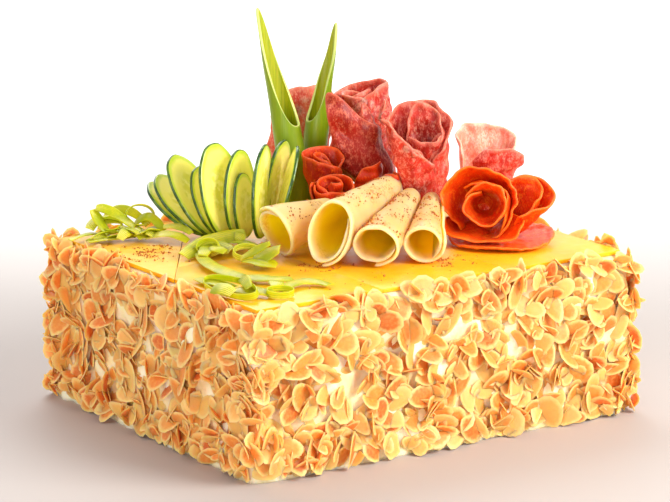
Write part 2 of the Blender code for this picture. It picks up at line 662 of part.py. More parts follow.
ONION_MIDDLE = dict(
    mound=((-0.070, -0.034), (0.022, 0.018), 0.0040),
    strips=(
        ((-0.095, -0.046, 0.0025), (-0.078, -0.024, 0.0070), (-0.058, -0.012, 0.0090), 0.009, 0.5),
        ((-0.068, -0.012, 0.0080), (-0.060, -0.026, 0.0080), (-0.064, -0.038, 0.0040), 0.005, 0.8),
        ((-0.052, -0.060, 0.0025), (-0.046, -0.062, 0.0060), (-0.036, -0.066, 0.0120), 0.009, 0.6),
        ((-0.060, -0.054, 0.0030), (-0.052, -0.060, 0.0090), (-0.042, -0.064, 0.0150), 0.004, 0.9),
        ((-0.086, -0.034, 0.0030), (-0.074, -0.078, 0.0030), (-0.050, -0.100, 0.0020), 0.007, 0.1),
        ((-0.060, -0.096, 0.0022), (-0.044, -0.104, 0.0030), (-0.028, -0.102, 0.0020), 0.008, 0.1),
        ((-0.056, -0.056, 0.0025), (-0.046, -0.066, 0.0035), (-0.038, -0.070, 0.0022), 0.012, 0.0),
    ),
    rings=(
        ((-0.057, -0.046, 0.0050), 0.0075, 0.0050, 0.5, 0.2),
        ((-0.080, -0.040, 0.0068), 0.0070, 0.0050, 0.8, -0.5),
    ),
)
ONION_FRONT = dict(
    mound=((-0.058, -0.138), (0.016, 0.012), 0.0022),
    strips=(
        ((-0.084, -0.098, 0.0016), (-0.070, -0.126, 0.0022), (-0.046, -0.152, 0.0016), 0.011, 0.05),
        ((-0.036, -0.132, 0.0020), (-0.022, -0.110, 0.0026), (-0.006, -0.116, 0.0016), 0.007, 0.1),
        ((-0.062, -0.130, 0.0025), (-0.050, -0.136, 0.0035), (-0.038, -0.138, 0.0020), 0.008, 0.2),
    ),
    rings=(
        ((-0.0350, -0.138, 0.0032), 0.0075, 0.0045, 0.15, 0.2),
    ),
)

def make_onion_heap(name, material, mound, strips, rings):
    """One heap: a mound with its strips and rings fused on."""
    heap = add_object(name, mound_mesh(*mound), material, smooth=False)
    pieces = []
    for start, middle, end, width, turn in strips:
        pieces.append(add_object("strip", strip_mesh(start, middle, end, width, ONION_THICKNESS, turn),
                                 material, smooth=False))
    for centre, radius, width, lean, turn in rings:
        pieces.append(add_object("ring", ring_mesh(centre, radius, width, ONION_THICKNESS, lean, turn),
                                 material, smooth=False))
    fuse(heap, pieces)


def make_onion():
    """The three heaps of cut spring onion."""
    green = finish("cut spring onion", (0.45, 0.60, 0.08), 0.35)
    make_onion_heap("onion_heap_left", green, **ONION_LEFT)
    make_onion_heap("onion_heap_middle", green, **ONION_MIDDLE)
    make_onion_heap("onion_heap_front", green, **ONION_FRONT)


def main():
    clear_scene()
    make_cake()
    make_cheese_layer()
    make_cheese_rolls()
    make_salami()
    make_cucumber()
    make_leaves()
    make_onion()


main()
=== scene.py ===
"""The looks of a savory party cake: a cream-coated block in flaked almonds, topped with sliced and rolled
cheese, salami roses, a cucumber fan and spring onion. Metres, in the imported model's own frame.
"""
import math

import bmesh
import bpy
import numpy as np
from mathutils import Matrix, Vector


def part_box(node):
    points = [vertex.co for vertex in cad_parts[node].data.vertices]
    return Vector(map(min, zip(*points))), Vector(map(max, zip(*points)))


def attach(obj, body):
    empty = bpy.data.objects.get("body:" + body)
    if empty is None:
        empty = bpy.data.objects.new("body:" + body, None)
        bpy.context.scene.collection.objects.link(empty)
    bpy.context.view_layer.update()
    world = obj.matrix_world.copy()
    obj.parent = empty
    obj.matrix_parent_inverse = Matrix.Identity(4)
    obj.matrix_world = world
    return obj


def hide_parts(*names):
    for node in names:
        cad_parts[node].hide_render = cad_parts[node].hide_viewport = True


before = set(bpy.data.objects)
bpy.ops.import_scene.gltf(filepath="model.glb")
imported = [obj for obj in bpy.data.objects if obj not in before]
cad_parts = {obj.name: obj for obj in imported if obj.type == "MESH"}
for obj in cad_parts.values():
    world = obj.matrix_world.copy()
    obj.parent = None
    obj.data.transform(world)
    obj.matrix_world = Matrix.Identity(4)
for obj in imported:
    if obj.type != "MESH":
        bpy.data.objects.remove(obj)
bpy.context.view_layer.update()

# The block: bread and filling under a thick coat of soft white cream cheese, spread by knife, so that the
# walls are a little lumpy. It shows between the almonds and as a narrow rim round the cheese.

CAKE_SIZE = np.array([0.274, 0.23, 0.1])
CAKE_EDGE = 0.005
CREAM_LUMPS = 0.0016
CREAM_GRID = (420, 44)


def put_mesh(name, points, faces, **marks):
    """A smooth mesh object from arrays of points and faces, with each mark as one number a point."""
    mesh = bpy.data.meshes.new(name)
    mesh.from_pydata(np.asarray(points).tolist(), [], [list(face) for face in faces])
    for mark, values in marks.items():
        layer = mesh.attributes.new(mark, "FLOAT", "POINT")
        layer.data.foreach_set("value", np.asarray(values, np.float32))
    mesh.shade_smooth()
    piece = bpy.data.objects.new(name, mesh)
    bpy.context.scene.collection.objects.link(piece)
    return piece


def grid_faces(index, closed=False):
    """Squares between neighbours of a grid of point numbers; closed joins its last column to its first."""
    if closed:
        index = np.column_stack([index, index[:, 0]])
    corners = (index[:-1, :-1], index[:-1, 1:], index[1:, 1:], index[1:, :-1])
    return np.stack(corners, -1).reshape(-1, 4)


def soft_noise(points, length, seed):
    """Smooth noise from -1 to 1 about: six sine waves of near this length, in drawn directions and phases."""
    draw = np.random.default_rng(seed)
    ways = draw.normal(size=(6, 3))
    ways /= np.linalg.norm(ways, axis=1)[:, None]
    steps = 2 * math.pi / length * draw.uniform(0.6, 1.5, 6)
    waves = np.sin(points @ (ways * steps[:, None]).T + draw.uniform(0, 2 * math.pi, 6))
    return waves.sum(-1) / 3


def wire(tree, kind, inputs=None, **settings):
    """Add a shader node, set its properties, and set or link its inputs."""
    node = tree.nodes.new(kind)
    for key, value in settings.items():
        setattr(node, key, value)
    for key, value in (inputs or {}).items():
        if isinstance(value, bpy.types.NodeSocket):
            tree.links.new(value, node.inputs[key])
        else:
            node.inputs[key].default_value = value
    return node


def new_finish(name, **sockets):
    """A material, its node tree and its Principled shader, with some sockets set."""
    finish = bpy.data.materials.new(name)
    finish.use_nodes = True
    tree = finish.node_tree
    shader = tree.nodes["Principled BSDF"]
    for key, value in sockets.items():
        shader.inputs[key.replace("_", " ")].default_value = value
    return finish, tree, shader


def place(tree, stretch=(1, 1, 1)):
    """Object coordinates, stretched."""
    where = wire(tree, "ShaderNodeTexCoord").outputs["Object"]
    return wire(tree, "ShaderNodeMapping", {"Vector": where, "Scale": stretch}).outputs["Vector"]


def noise(tree, where, scale, detail=2.0, rough=0.5):
    """Noise from 0 to 1, with its blotches 1 / scale across."""
    return wire(tree, "ShaderNodeTexNoise",
                {"Vector": where, "Scale": scale, "Detail": detail, "Roughness": rough}).outputs["Fac"]


def mark(tree, name):
    """The number that a mesh attribute holds."""
    return wire(tree, "ShaderNodeAttribute", attribute_name=name).outputs["Fac"]


def between(tree, value, low, high):
    """0 below low, 1 above high and a smooth step between."""
    return wire(tree, "ShaderNodeMapRange", {"Value": value, "From Min": low, "From Max": high},
                interpolation_type="SMOOTHSTEP").outputs["Result"]


def reckon(tree, what, first, second=0.0):
    """A sum, product or other calculation with two values."""
    return wire(tree, "ShaderNodeMath", {0: first, 1: second}, operation=what).outputs["Value"]


def blend(tree, part, first, second):
    """A colour that goes from first to second as part goes from 0 to 1."""
    node = wire(tree, "ShaderNodeMix", {0: part}, data_type="RGBA")
    for slot, colour in ((6, first), (7, second)):
        if isinstance(colour, bpy.types.NodeSocket):
            tree.links.new(colour, node.inputs[slot])
        else:
            node.inputs[slot].default_value = (*colour, 1.0)
    return node.outputs[2]


def bump(tree, shader, height, depth):
    """Relief of this depth in metres on a shader."""
    relief = wire(tree, "ShaderNodeBump", {"Height": height, "Distance": depth})
    tree.links.new(relief.outputs["Normal"], shader.inputs["Normal"])


def block_outline(count):
    """Points evenly round a rectangle with quarter-circle corners, and their outward directions."""
    half = CAKE_SIZE[:2] / 2 - CAKE_EDGE
    turn = np.radians(np.linspace(0, 90, 9))
    corners = []
    for sx, sy, start in ((1, 1, 0), (-1, 1, 90), (-1, -1, 180), (1, -1, 270)):
        angle = turn + math.radians(start)
        corners.append(half * (sx, sy) + CAKE_EDGE * np.column_stack([np.cos(angle), np.sin(angle)]))
    line = np.vstack(corners + [corners[0][:1]])
    run = np.concatenate([[0], np.cumsum(np.linalg.norm(np.diff(line, axis=0), axis=1))])
    at = np.arange(count) / count * run[-1]
    points = np.column_stack([np.interp(at, run, line[:, axis]) for axis in (0, 1)])
    out = points - np.clip(points, -half, half)
    return points, out / np.linalg.norm(out, axis=1)[:, None]


def cream_grid(count, rows):
    """The coat: the outline carried up the wall and over a rounded edge onto the top, made lumpy by noise."""
    outline, out = block_outline(count)
    wall = np.linspace(0, CAKE_SIZE[2] - CAKE_EDGE, rows)
    turn = np.linspace(0, math.pi / 2, 6)[1:]
    height = np.concatenate([wall, CAKE_SIZE[2] - CAKE_EDGE + CAKE_EDGE * np.sin(turn)])
    inset = np.concatenate([np.zeros(rows), CAKE_EDGE * (1 - np.cos(turn))])
    flat = outline[None] - inset[:, None, None] * out[None]
    grid = np.concatenate([flat, np.broadcast_to(height[:, None, None], (*flat.shape[:2], 1))], -1)
    lump = CREAM_LUMPS * (soft_noise(grid, 0.03, 1) + 0.5 * soft_noise(grid, 0.011, 2))
    lump *= np.minimum(1, (CAKE_SIZE[2] - grid[..., 2]) / CAKE_EDGE)
    grid[..., :2] += lump[..., None] * out[None]
    return grid


grid = cream_grid(*CREAM_GRID)
numbers = np.arange(grid.shape[0] * grid.shape[1]).reshape(grid.shape[:2])
cream_faces = grid_faces(numbers, closed=True).tolist() + [numbers[0][::-1].tolist(), numbers[-1].tolist()]
cream = put_mesh("cream_coat", grid.reshape(-1, 3), cream_faces)

finish, tree, shader = new_finish("cream", Roughness=0.45, Subsurface_Weight=0.35, Subsurface_Scale=0.004,
                                  Subsurface_Radius=(1.0, 0.6, 0.3))
where = place(tree)
blotch = noise(tree, where, 60, 4)
tree.links.new(blend(tree, between(tree, blotch, 0.35, 0.7), (0.99, 0.78, 0.4), (1.0, 0.92, 0.7)),
               shader.inputs["Base Color"])
bump(tree, shader, noise(tree, where, 420, 3), 0.0006)
cream.data.materials.append(finish)
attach(cream, "root")

# Flaked almonds: thin slices cut along the nut and lightly toasted, pressed by hand into the cream of the
# walls until they cover it, lying over each other at all angles. They stand a little above the top edge.

FLAKE_LENGTH = 0.0205
FLAKE_WIDTH = 0.0135
FLAKE_THICKNESS = 0.0007
FLAKE_SIDES = 12
FLAKE_REACH = 0.0112
FLAKE_TOP = CAKE_SIZE[2] + 0.0095
FLAKE_FLOOR = 0.0005
SLIVER_SHARE, BROKEN_SHARE = 0.2, 0.3
BUNCH_STEP = 0.0012
OUTLINE_POINTS = 4000
# Ring by ring: radius and height as parts of the flake's own, from its face round to its back
FLAKE_PROFILE = np.array([(0.86, 1), (1, 0), (0.86, -1)])


def flake_shapes(draw, count):
    """Flakes lying flat at the origin, (count, rings, sides, 3): egg-shaped plates and narrow slivers, some
    broken off straight, dished and twisted by quadratic terms in x and y.
    """
    angle = np.arange(FLAKE_SIDES) * 2 * math.pi / FLAKE_SIDES
    size = draw.uniform(0.7, 1.22, count)
    sliver = draw.uniform(size=count) < SLIVER_SHARE
    narrow = np.where(sliver, draw.uniform(0.32, 0.62, count), draw.uniform(0.78, 1.1, count))
    ragged = 1 + 0.025 * draw.normal(size=(count, 1, FLAKE_SIDES))
    radius = FLAKE_PROFILE[None, :, None, 0] * ragged
    x = radius * np.cos(angle)
    y = radius * np.sin(angle) * (1 - 0.25 * np.cos(angle))
    broken = draw.uniform(size=count) < BROKEN_SHARE
    cut = np.where(broken, draw.uniform(-0.1, 0.6, count), 2.0)
    x = np.minimum(x, cut[:, None, None] * FLAKE_PROFILE[None, :, None, 0])
    x = x * (size * FLAKE_LENGTH / 2)[:, None, None]
    y = y * (size * narrow * FLAKE_WIDTH / 2)[:, None, None]
    dish, saddle, twist = (draw.normal(size=(3, count)) * [[5], [4], [4]])[..., None, None]
    z = FLAKE_PROFILE[None, :, None, 1] * FLAKE_THICKNESS / 2
    z = z + dish * (x ** 2 + y ** 2) + saddle * (x ** 2 - y ** 2) + twist * x * y
    return np.stack(np.broadcast_arrays(x, y, z), -1)


def turns_about(axis, angle):
    """Turning matrices about the x, y or z axis (0, 1 or 2), one for each angle."""
    turns = np.zeros((len(angle), 3, 3))
    first, second = (axis + 1) % 3, (axis + 2) % 3
    turns[:, axis, axis] = 1
    turns[:, first, first] = turns[:, second, second] = np.cos(angle)
    turns[:, second, first] = np.sin(angle)
    turns[:, first, second] = -np.sin(angle)
    return turns


def turned(points, spin, lift, roll):
    """Flakes rolled about their x, lifted about their y, then spun in the plane of the wall."""
    turns = turns_about(2, spin) @ turns_about(1, lift) @ turns_about(0, roll)
    return np.einsum("nij,nrsj->nrsi", turns, points)


def stand_on(points, centre, along, normal):
    """Flakes moved from their own axes to a wall: x along it, y up and z out of it."""
    up = np.cross(normal, along)
    return (centre[:, None, None] + points[..., :1] * along[:, None, None]
            + points[..., 1:2] * up[:, None, None] + points[..., 2:] * normal[:, None, None])


def wall_places(draw, count, heights, corners):
    """Drawn places round the walls, or at their corners only, between two heights: points on the outline and
    the ways along and out.
    """
    outline, out = block_outline(OUTLINE_POINTS)
    if corners:
        rounded = np.abs(out).min(1) > 0.2
        outline, out = outline[rounded], out[rounded]
    pick = draw.integers(0, len(outline), count)
    centre = np.column_stack([outline[pick], draw.uniform(*heights, count)])
    normal = np.column_stack([out[pick], np.zeros(count)])
    along = np.column_stack([-out[pick][:, 1], out[pick][:, 0], np.zeros(count)])
    return centre, along, normal


def seat_flakes(points, normal, wall):
    """Flakes kept above the floor, under their top limit and within their reach from the wall."""
    low = points[..., 2].min((1, 2))
    high = points[..., 2].max((1, 2))
    points[..., 2] += (np.maximum(0, FLAKE_FLOOR - low) - np.maximum(0, high - FLAKE_TOP))[:, None, None]
    out = np.einsum("nrsj,nj->nrs", points, normal).max((1, 2)) - wall
    points -= (np.maximum(0, out - FLAKE_REACH)[:, None] * normal)[:, None, None]
    limit, flat = CAKE_SIZE[:2] / 2 + FLAKE_REACH, points[..., :2]
    over = np.maximum(0, flat.max((1, 2)) - limit) + np.minimum(0, flat.min((1, 2)) + limit)
    points[..., :2] -= over[:, None, None]
    return points


def coat_of_flakes(seed, groups, heights, proud, tilt, lean=0.0, bunch=1, corners=False):
    """One layer of flakes: between two heights, proud of the wall by the range given, and tilted by lean and
    a normal draw of tilt degrees. A group of more than one is a stack of flakes that stand side by side.
    """
    draw = np.random.default_rng(seed)
    count = groups * bunch
    centre, along, normal = (np.repeat(way, bunch, 0) for way in wall_places(draw, groups, heights, corners))
    wall = np.einsum("nj,nj->n", centre, normal)
    spin = np.repeat(draw.uniform(0, 2 * math.pi, groups), bunch)
    spin = spin + draw.normal(size=count) * 0.35 * (bunch > 1)
    lift, roll = np.repeat(np.radians(draw.normal(size=(2, groups)) * tilt + [[lean], [0]]), bunch, 1)
    lift = lift + draw.normal(size=count) * 0.12 * (bunch > 1)
    step = BUNCH_STEP * np.tile(np.arange(bunch), groups)
    upright = np.broadcast_to([0.0, 0.0, 1.0], (count, 1, 1, 3))
    rise = turned(upright, spin, lift, roll) * step[:, None, None, None]
    shapes = turned(flake_shapes(draw, count), spin, lift, roll) + rise
    centre = centre + normal * draw.uniform(*proud, count)[:, None]
    return seat_flakes(stand_on(shapes, centre, along, normal), normal, wall), draw.uniform(size=count)


def put_flakes(name, points, tone):
    """Flakes as one mesh, marked with each one's tone and with how near its rim a point is, from 0 at the
    middle of a face to 1 at the rim.
    """
    count, rings, sides = points.shape[:3]
    ringed = rings * sides
    every = np.concatenate([points.reshape(count, ringed, 3), points[:, [0, -1]].mean(2)], 1)
    one = np.arange(ringed).reshape(rings, sides)
    onward = np.roll(one, -1, 1)
    under = np.stack([onward[0], one[0], np.full(sides, ringed)], -1)
    over = np.stack([one[-1], onward[-1], np.full(sides, ringed + 1)], -1)
    first = (np.arange(count) * (ringed + 2))[:, None, None]
    walls = (grid_faces(one, closed=True)[None] + first).reshape(-1, 4).tolist()
    ends = (np.concatenate([under, over])[None] + first).reshape(-1, 3).tolist()
    rim = np.concatenate([np.repeat(FLAKE_PROFILE[:, 0], sides), [0, 0]])
    return put_mesh(name, every.reshape(-1, 3), walls + ends, rim=np.tile(rim, count),
                    tone=np.repeat(tone, ringed + 2))


TOP, ALL = CAKE_SIZE[2], (0.003, CAKE_SIZE[2] - 0.002)
# Each layer: seed, flakes or stacks, heights, how far proud of the wall, and tilt in degrees
layers = [coat_of_flakes(3, 1290, ALL, (0.0, 0.0018), 13),
          coat_of_flakes(4, 820, ALL, (0.001, 0.0046), 30),
          coat_of_flakes(5, 200, (TOP - 0.007, TOP + 0.001), (-0.001, 0.0044), 36),
          coat_of_flakes(6, 150, (0.004, 0.014), (0.001, 0.005), 36),
          coat_of_flakes(7, 60, (0.004, TOP - 0.01), (0.001, 0.004), 16, lean=62, bunch=3),
          coat_of_flakes(8, 92, (0.004, TOP + 0.001), (0.002, 0.008), 38, corners=True)]
almonds = put_flakes("flaked_almonds", np.concatenate([points for points, _ in layers]),
                     np.concatenate([tone for _, tone in layers]))
almonds.data.set_sharp_from_angle(angle=math.radians(60))

finish, tree, shader = new_finish("toasted almond", Roughness=0.45, Specular_IOR_Level=0.35,
                                  Subsurface_Weight=0.6, Subsurface_Scale=0.004,
                                  Subsurface_Radius=(1.0, 0.45, 0.12))
where = place(tree)
tone, rim = mark(tree, "tone"), mark(tree, "rim")
grain = noise(tree, where, 480, 3)
face = blend(tree, between(tree, tone, 0.0, 0.7), (1.0, 0.49, 0.135), (0.89, 0.26, 0.04))
toasted = blend(tree, between(tree, tone, 0.72, 1.0), face, (0.66, 0.14, 0.02))
streaks = reckon(tree, "MULTIPLY", between(tree, grain, 0.35, 0.8), 0.4)
streaked = blend(tree, streaks, toasted, (0.99, 0.48, 0.12))
pale_rim = between(tree, reckon(tree, "ADD", rim, reckon(tree, "MULTIPLY", grain, 0.2)), 0.72, 1.06)
tree.links.new(blend(tree, pale_rim, streaked, (1.0, 0.6, 0.21)), shader.inputs["Base Color"])
bump(tree, shader, grain, 0.0002)
almonds.data.materials.append(finish)
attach(almonds, "root")
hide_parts("cake")

# Sliced cheese: square slices of soft yellow cheese laid edge to edge over the top, with cut edges that
# have rounded a little, and a moist shine.

CHEESE_EDGE = 0.00014
CHEESE_SPREAD = 0.00027


def softened(node, width, spread):
    """A copy of a CAD slab with its points merged, its flat faces joined, its sides moved out by spread and
    its edges rounded to this width.
    """
    shape = bmesh.new()
    shape.from_mesh(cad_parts[node].data)
    bmesh.ops.remove_doubles(shape, verts=shape.verts, dist=0.00001)
    bmesh.ops.dissolve_limit(shape, angle_limit=math.radians(2), verts=shape.verts, edges=shape.edges)
    mesh = bpy.data.meshes.new("soft_" + node)
    shape.to_mesh(mesh)
    points = np.empty((len(mesh.vertices), 3), np.float32)
    mesh.vertices.foreach_get("co", points.ravel())
    middle = np.mean(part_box(node), axis=0)
    points[:, :2] += np.copysign(spread, points[:, :2] - middle[:2])
    mesh.vertices.foreach_set("co", points.ravel())
    shape.clear()
    shape.from_mesh(mesh)
    bmesh.ops.bevel(shape, geom=shape.edges[:], offset=width, segments=3, profile=0.5, affect="EDGES")
    bmesh.ops.triangulate(shape, faces=[face for face in shape.faces if len(face.verts) > 4])
    shape.to_mesh(mesh)
    shape.free()
    mesh.shade_smooth()
    mesh.set_sharp_from_angle(angle=math.radians(40))
    piece = bpy.data.objects.new("soft_" + node, mesh)
    bpy.context.scene.collection.objects.link(piece)
    return piece


finish, tree, shader = new_finish("sliced cheese", Subsurface_Weight=0.4, Subsurface_Scale=0.004,
                                  Subsurface_Radius=(1.0, 0.5, 0.1), Specular_IOR_Level=0.35,
                                  Coat_Weight=0.12, Coat_Roughness=0.12)
where = place(tree)
broad = noise(tree, where, 28, 2)
tree.links.new(blend(tree, between(tree, broad, 0.35, 0.7), (0.96, 0.45, 0.006), (0.97, 0.53, 0.016)),
               shader.inputs["Base Color"])
sheen = wire(tree, "ShaderNodeMapRange", {"Value": noise(tree, where, 160, 3), "To Min": 0.24,
                                          "To Max": 0.48})
tree.links.new(sheen.outputs["Result"], shader.inputs["Roughness"])
bump(tree, shader, noise(tree, where, 45, 2), 0.0012)
for node in [name for name in sorted(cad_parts) if name.startswith("cheese_slice")]:
    slab = softened(node, CHEESE_EDGE, CHEESE_SPREAD)
    slab.data.materials.append(finish)
    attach(slab, "root")
    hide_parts(node)

# Rolled cheese: four square slices of paler cheese, each rolled by hand into a cone and laid down with its
# mouth to the front. The light that shines through the one sheet is painted as a golden glow on its inner face.

SHOW_TURN = math.radians(-34.0)
TABLE = CAKE_SIZE[2] + 0.003
SHEET_LIFT = 0.55
ROLL_THICKNESS = 0.0022
ROLL_GRID = (110, 30)


def to_cake(points):
    """Points from the show frame, whose origin is on the cheese and whose -Y faces the front corner."""
    c, s = math.cos(SHOW_TURN), math.sin(SHOW_TURN)
    x, y, z = np.moveaxis(points, -1, 0)
    return np.stack([x * c - y * s, x * s + y * c, z + TABLE], -1)


def edged(count, lip):
    """Steps from 0 to 1 with two closer ones at each end, where a sheet's edge is rounded."""
    return np.concatenate([[0, lip / 3], np.linspace(lip, 1 - lip, count), [1 - lip / 3, 1]])


def edge_round(count):
    """The part of a sheet's thickness at each of the steps from edged."""
    return np.concatenate([[0, 0.75], np.ones(count), [0.75, 0]])


def wrap_points(u, v, foot, head, foot_radius, head_radius, start, sweep, pitch=0.0, flare=1.0,
                tilt=(0, 0.0), peak=(0, 0.0, 30), ripple=(0.0, 3, 0), fall=0.0, bulge=0.0):
    """A sheet rolled round the line from foot to head.

    u runs round the axis from the start angle through the sweep, in degrees, and v from the foot to the rim.
    The radius goes from foot_radius to head_radius as v to the power of flare, waves by ripple (depth,
    waves, phase) towards the rim, and grows by pitch a full turn. The rim stands higher by tilt towards
    one angle and by peak (angle, height, width) in a spike, and is cut back at both free edges by fall. The
    wall swells by bulge halfway up.
    """
    u, v = np.broadcast_arrays(np.asarray(u, float), np.asarray(v, float))
    foot, head = np.asarray(foot, float), np.asarray(head, float)
    axis = head - foot
    ahead = axis / np.linalg.norm(axis)
    side = np.array([1.0, 0.0, 0.0]) - ahead[0] * ahead
    side /= np.linalg.norm(side)
    back = np.cross(ahead, side)
    degrees = start + sweep * u
    angle = np.radians(degrees)
    off_peak = (degrees - peak[0] + 180) % 360 - 180
    rim = 1 + tilt[1] * np.cos(angle - math.radians(tilt[0])) + peak[1] * np.exp(-(off_peak / peak[2]) ** 2)
    v = v * (1 - fall * np.abs(2 * u - 1) ** 3)
    wide, deep = np.broadcast_to(np.asarray(head_radius, float), (2,))
    wave = 1 + ripple[0] * v ** 2 * np.sin(ripple[1] * angle + math.radians(ripple[2]))
    wave = wave * (1 + bulge * np.sin(math.pi * v))
    wound = pitch * abs(sweep) / 360 * u
    across = ((foot_radius + (wide - foot_radius) * v ** flare) * wave + wound) * np.cos(angle)
    back_by = ((foot_radius + (deep - foot_radius) * v ** flare) * wave + wound) * np.sin(angle)
    along = v * rim
    return foot + along[..., None] * axis + across[..., None] * side + back_by[..., None] * back


def thick_sheet(middle, half, closed=False):
    """A sheet's points and faces: its faces lie half a thickness to each side of the middle grid, along its
    normals, and meet at the open borders. Also gives side, a mark that is 1 on the inner face, and the
    function that carries a mark to both faces.
    """
    down = np.gradient(middle, axis=0)
    across = np.roll(middle, -1, 1) - np.roll(middle, 1, 1) if closed else np.gradient(middle, axis=1)
    normal = np.cross(across, down)
    normal /= np.linalg.norm(normal, axis=-1)[..., None] + 1e-12
    border = np.zeros(middle.shape[:2], bool)
    border[[0, -1]] = True
    if not closed:
        border[:, [0, -1]] = True
    shift = normal * np.where(border, 0, half)[..., None]
    outer = np.arange(border.size).reshape(border.shape)
    inner = outer.copy()
    inner[~border] = border.size + np.arange((~border).sum())
    points = np.concatenate([(middle + shift).reshape(-1, 3), (middle - shift)[~border]])
    faces = np.concatenate([grid_faces(outer, closed), grid_faces(inner, closed)[:, ::-1]])

    def carried(values):
        values = np.broadcast_to(values, border.shape)
        return np.concatenate([values.ravel(), values[~border]])

    side = np.concatenate([np.zeros(border.size), np.ones((~border).sum())])
    return points, faces, side, carried


def rolled_sheet(shape, thickness, columns, rows, crumple=0.0, crease=0.02, seed=0, floor=0.0, feather=0.0):
    """One rolled slice: wrap_points on a grid, crumpled by smooth noise that grows to the rim, and lowered
    until it stands on its floor. Over the part feather its inner end thins out and hugs the turn outside it.
    Gives its points, faces and marks: side, depth and nearness to an edge.
    """
    u, v = edged(columns, 0.02), edged(rows, 0.04)
    if shape["sweep"] < 0:
        u = u[::-1]
    middle = wrap_points(u[None, :], v[:, None], **shape)
    down, across = np.gradient(middle, axis=0), np.gradient(middle, axis=1)
    normal = np.cross(across, down)
    normal /= np.linalg.norm(normal, axis=-1)[..., None] + 1e-12
    push = crumple * (0.25 + v[:, None] ** 1.5) * (soft_noise(middle, crease, seed)
                                                   + 0.6 * soft_noise(middle, crease * 0.4, seed + 50))
    start = np.clip(1 - u / max(feather, 1e-6), 0, 1)[None, :]
    push = push + 0.45 * shape.get("pitch", 0.0) * start ** 2
    middle = middle + push[..., None] * normal
    middle[..., 2] += floor + SHEET_LIFT * thickness - middle[..., 2].min()
    rounding = np.minimum(edge_round(rows)[:, None], edge_round(columns)[None, :])
    half = thickness / 2 * rounding * (1 - 0.9 * start)
    points, faces, side, carried = thick_sheet(middle, half)
    to_edge = np.minimum(np.minimum(u, 1 - u)[None, :] * 0.1, (1 - v)[:, None] * 0.05)
    edge = np.clip(1 - to_edge / 0.0028, 0, 1)
    return to_cake(points), faces, dict(side=side, depth=carried(v[:, None]), edge=carried(edge))


def join_sheets(sheets):
    """Several sheets' points, faces and marks as one."""
    first = np.cumsum([0] + [len(points) for points, _, _ in sheets])
    points = np.concatenate([points for points, _, _ in sheets])
    faces = np.concatenate([faces + start for (_, faces, _), start in zip(sheets, first)])
    marks = {key: np.concatenate([marks[key] for _, _, marks in sheets]) for key in sheets[0][2]}
    return points, faces, marks


ROLLS = dict(
    cheese_roll_1=dict(foot=(-0.006, -0.008, 0.0215), head=(-0.04, -0.04, 0.016), foot_radius=0.005,
                       head_radius=(0.0117, 0.0139), start=60, sweep=432, pitch=0.0026, tilt=(90, 0.1)),
    cheese_roll_2=dict(foot=(0.032, 0.022, 0.03), head=(-0.0075, -0.06, 0.0185), foot_radius=0.0047,
                       head_radius=(0.0112, 0.0144), start=35, sweep=-485, pitch=0.0026, tilt=(90, -0.1)),
    cheese_roll_3=dict(foot=(0.044, 0.012, 0.027), head=(0.0205, -0.068, 0.0135), foot_radius=0.0032,
                       head_radius=(0.0117, 0.0095), start=0, sweep=-450, pitch=0.0026),
    cheese_roll_4=dict(foot=(0.0575, 0.01, 0.026), head=(0.05, -0.058, 0.013), foot_radius=0.0032,
                       head_radius=(0.0094, 0.0092), start=-60, sweep=432, pitch=0.0026),
)

finish, tree, shader = new_finish("rolled cheese", Roughness=0.42, Subsurface_Weight=0.85,
                                  Subsurface_Scale=0.018, Subsurface_Radius=(1.0, 0.7, 0.12),
                                  Specular_IOR_Level=0.35, Coat_Weight=0.05, Coat_Roughness=0.25)
where = place(tree)
# Painted glow: the inner face, all but the rim, is bright gold for the light that shines through the sheet
painted_glow = reckon(tree, "MULTIPLY", mark(tree, "side"), between(tree, mark(tree, "depth"), 0.99, 0.82))
skin = blend(tree, between(tree, noise(tree, where, 40, 2), 0.3, 0.7), (0.97, 0.46, 0.16), (0.98, 0.54, 0.23))
# Between the paprika's grains its powder stains the skin faintly
powder = reckon(tree, "MULTIPLY", between(tree, noise(tree, where, 70, 3), 0.5, 0.66),
                between(tree, noise(tree, where, 650, 3), 0.42, 0.62))
skin = blend(tree, reckon(tree, "MULTIPLY", powder, 0.75), skin, (0.66, 0.17, 0.02))
skin = blend(tree, mark(tree, "edge"), skin, (0.99, 0.74, 0.36))
tree.links.new(blend(tree, painted_glow, skin, (1.0, 0.62, 0.004)), shader.inputs["Base Color"])
bump(tree, shader, noise(tree, where, 900, 2), 0.00012)
for number, (node, shape) in enumerate(ROLLS.items()):
    points, faces, marks = rolled_sheet(shape, ROLL_THICKNESS, *ROLL_GRID, crumple=0.0004, crease=0.03,
                                        seed=20 + number, feather=0.07)
    roll = put_mesh("rolled_" + node, points, faces, **marks)
    roll.data.materials.append(finish)
    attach(roll, "root")
    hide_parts(node)

# Salami: thin round slices. The pink ones are marbled with white fat and folded into tall flowers at the
# back. The red ones, orange-red with paprika, are curled into small roses at the left and a large rose at the
# right, which sits on a flat slice.

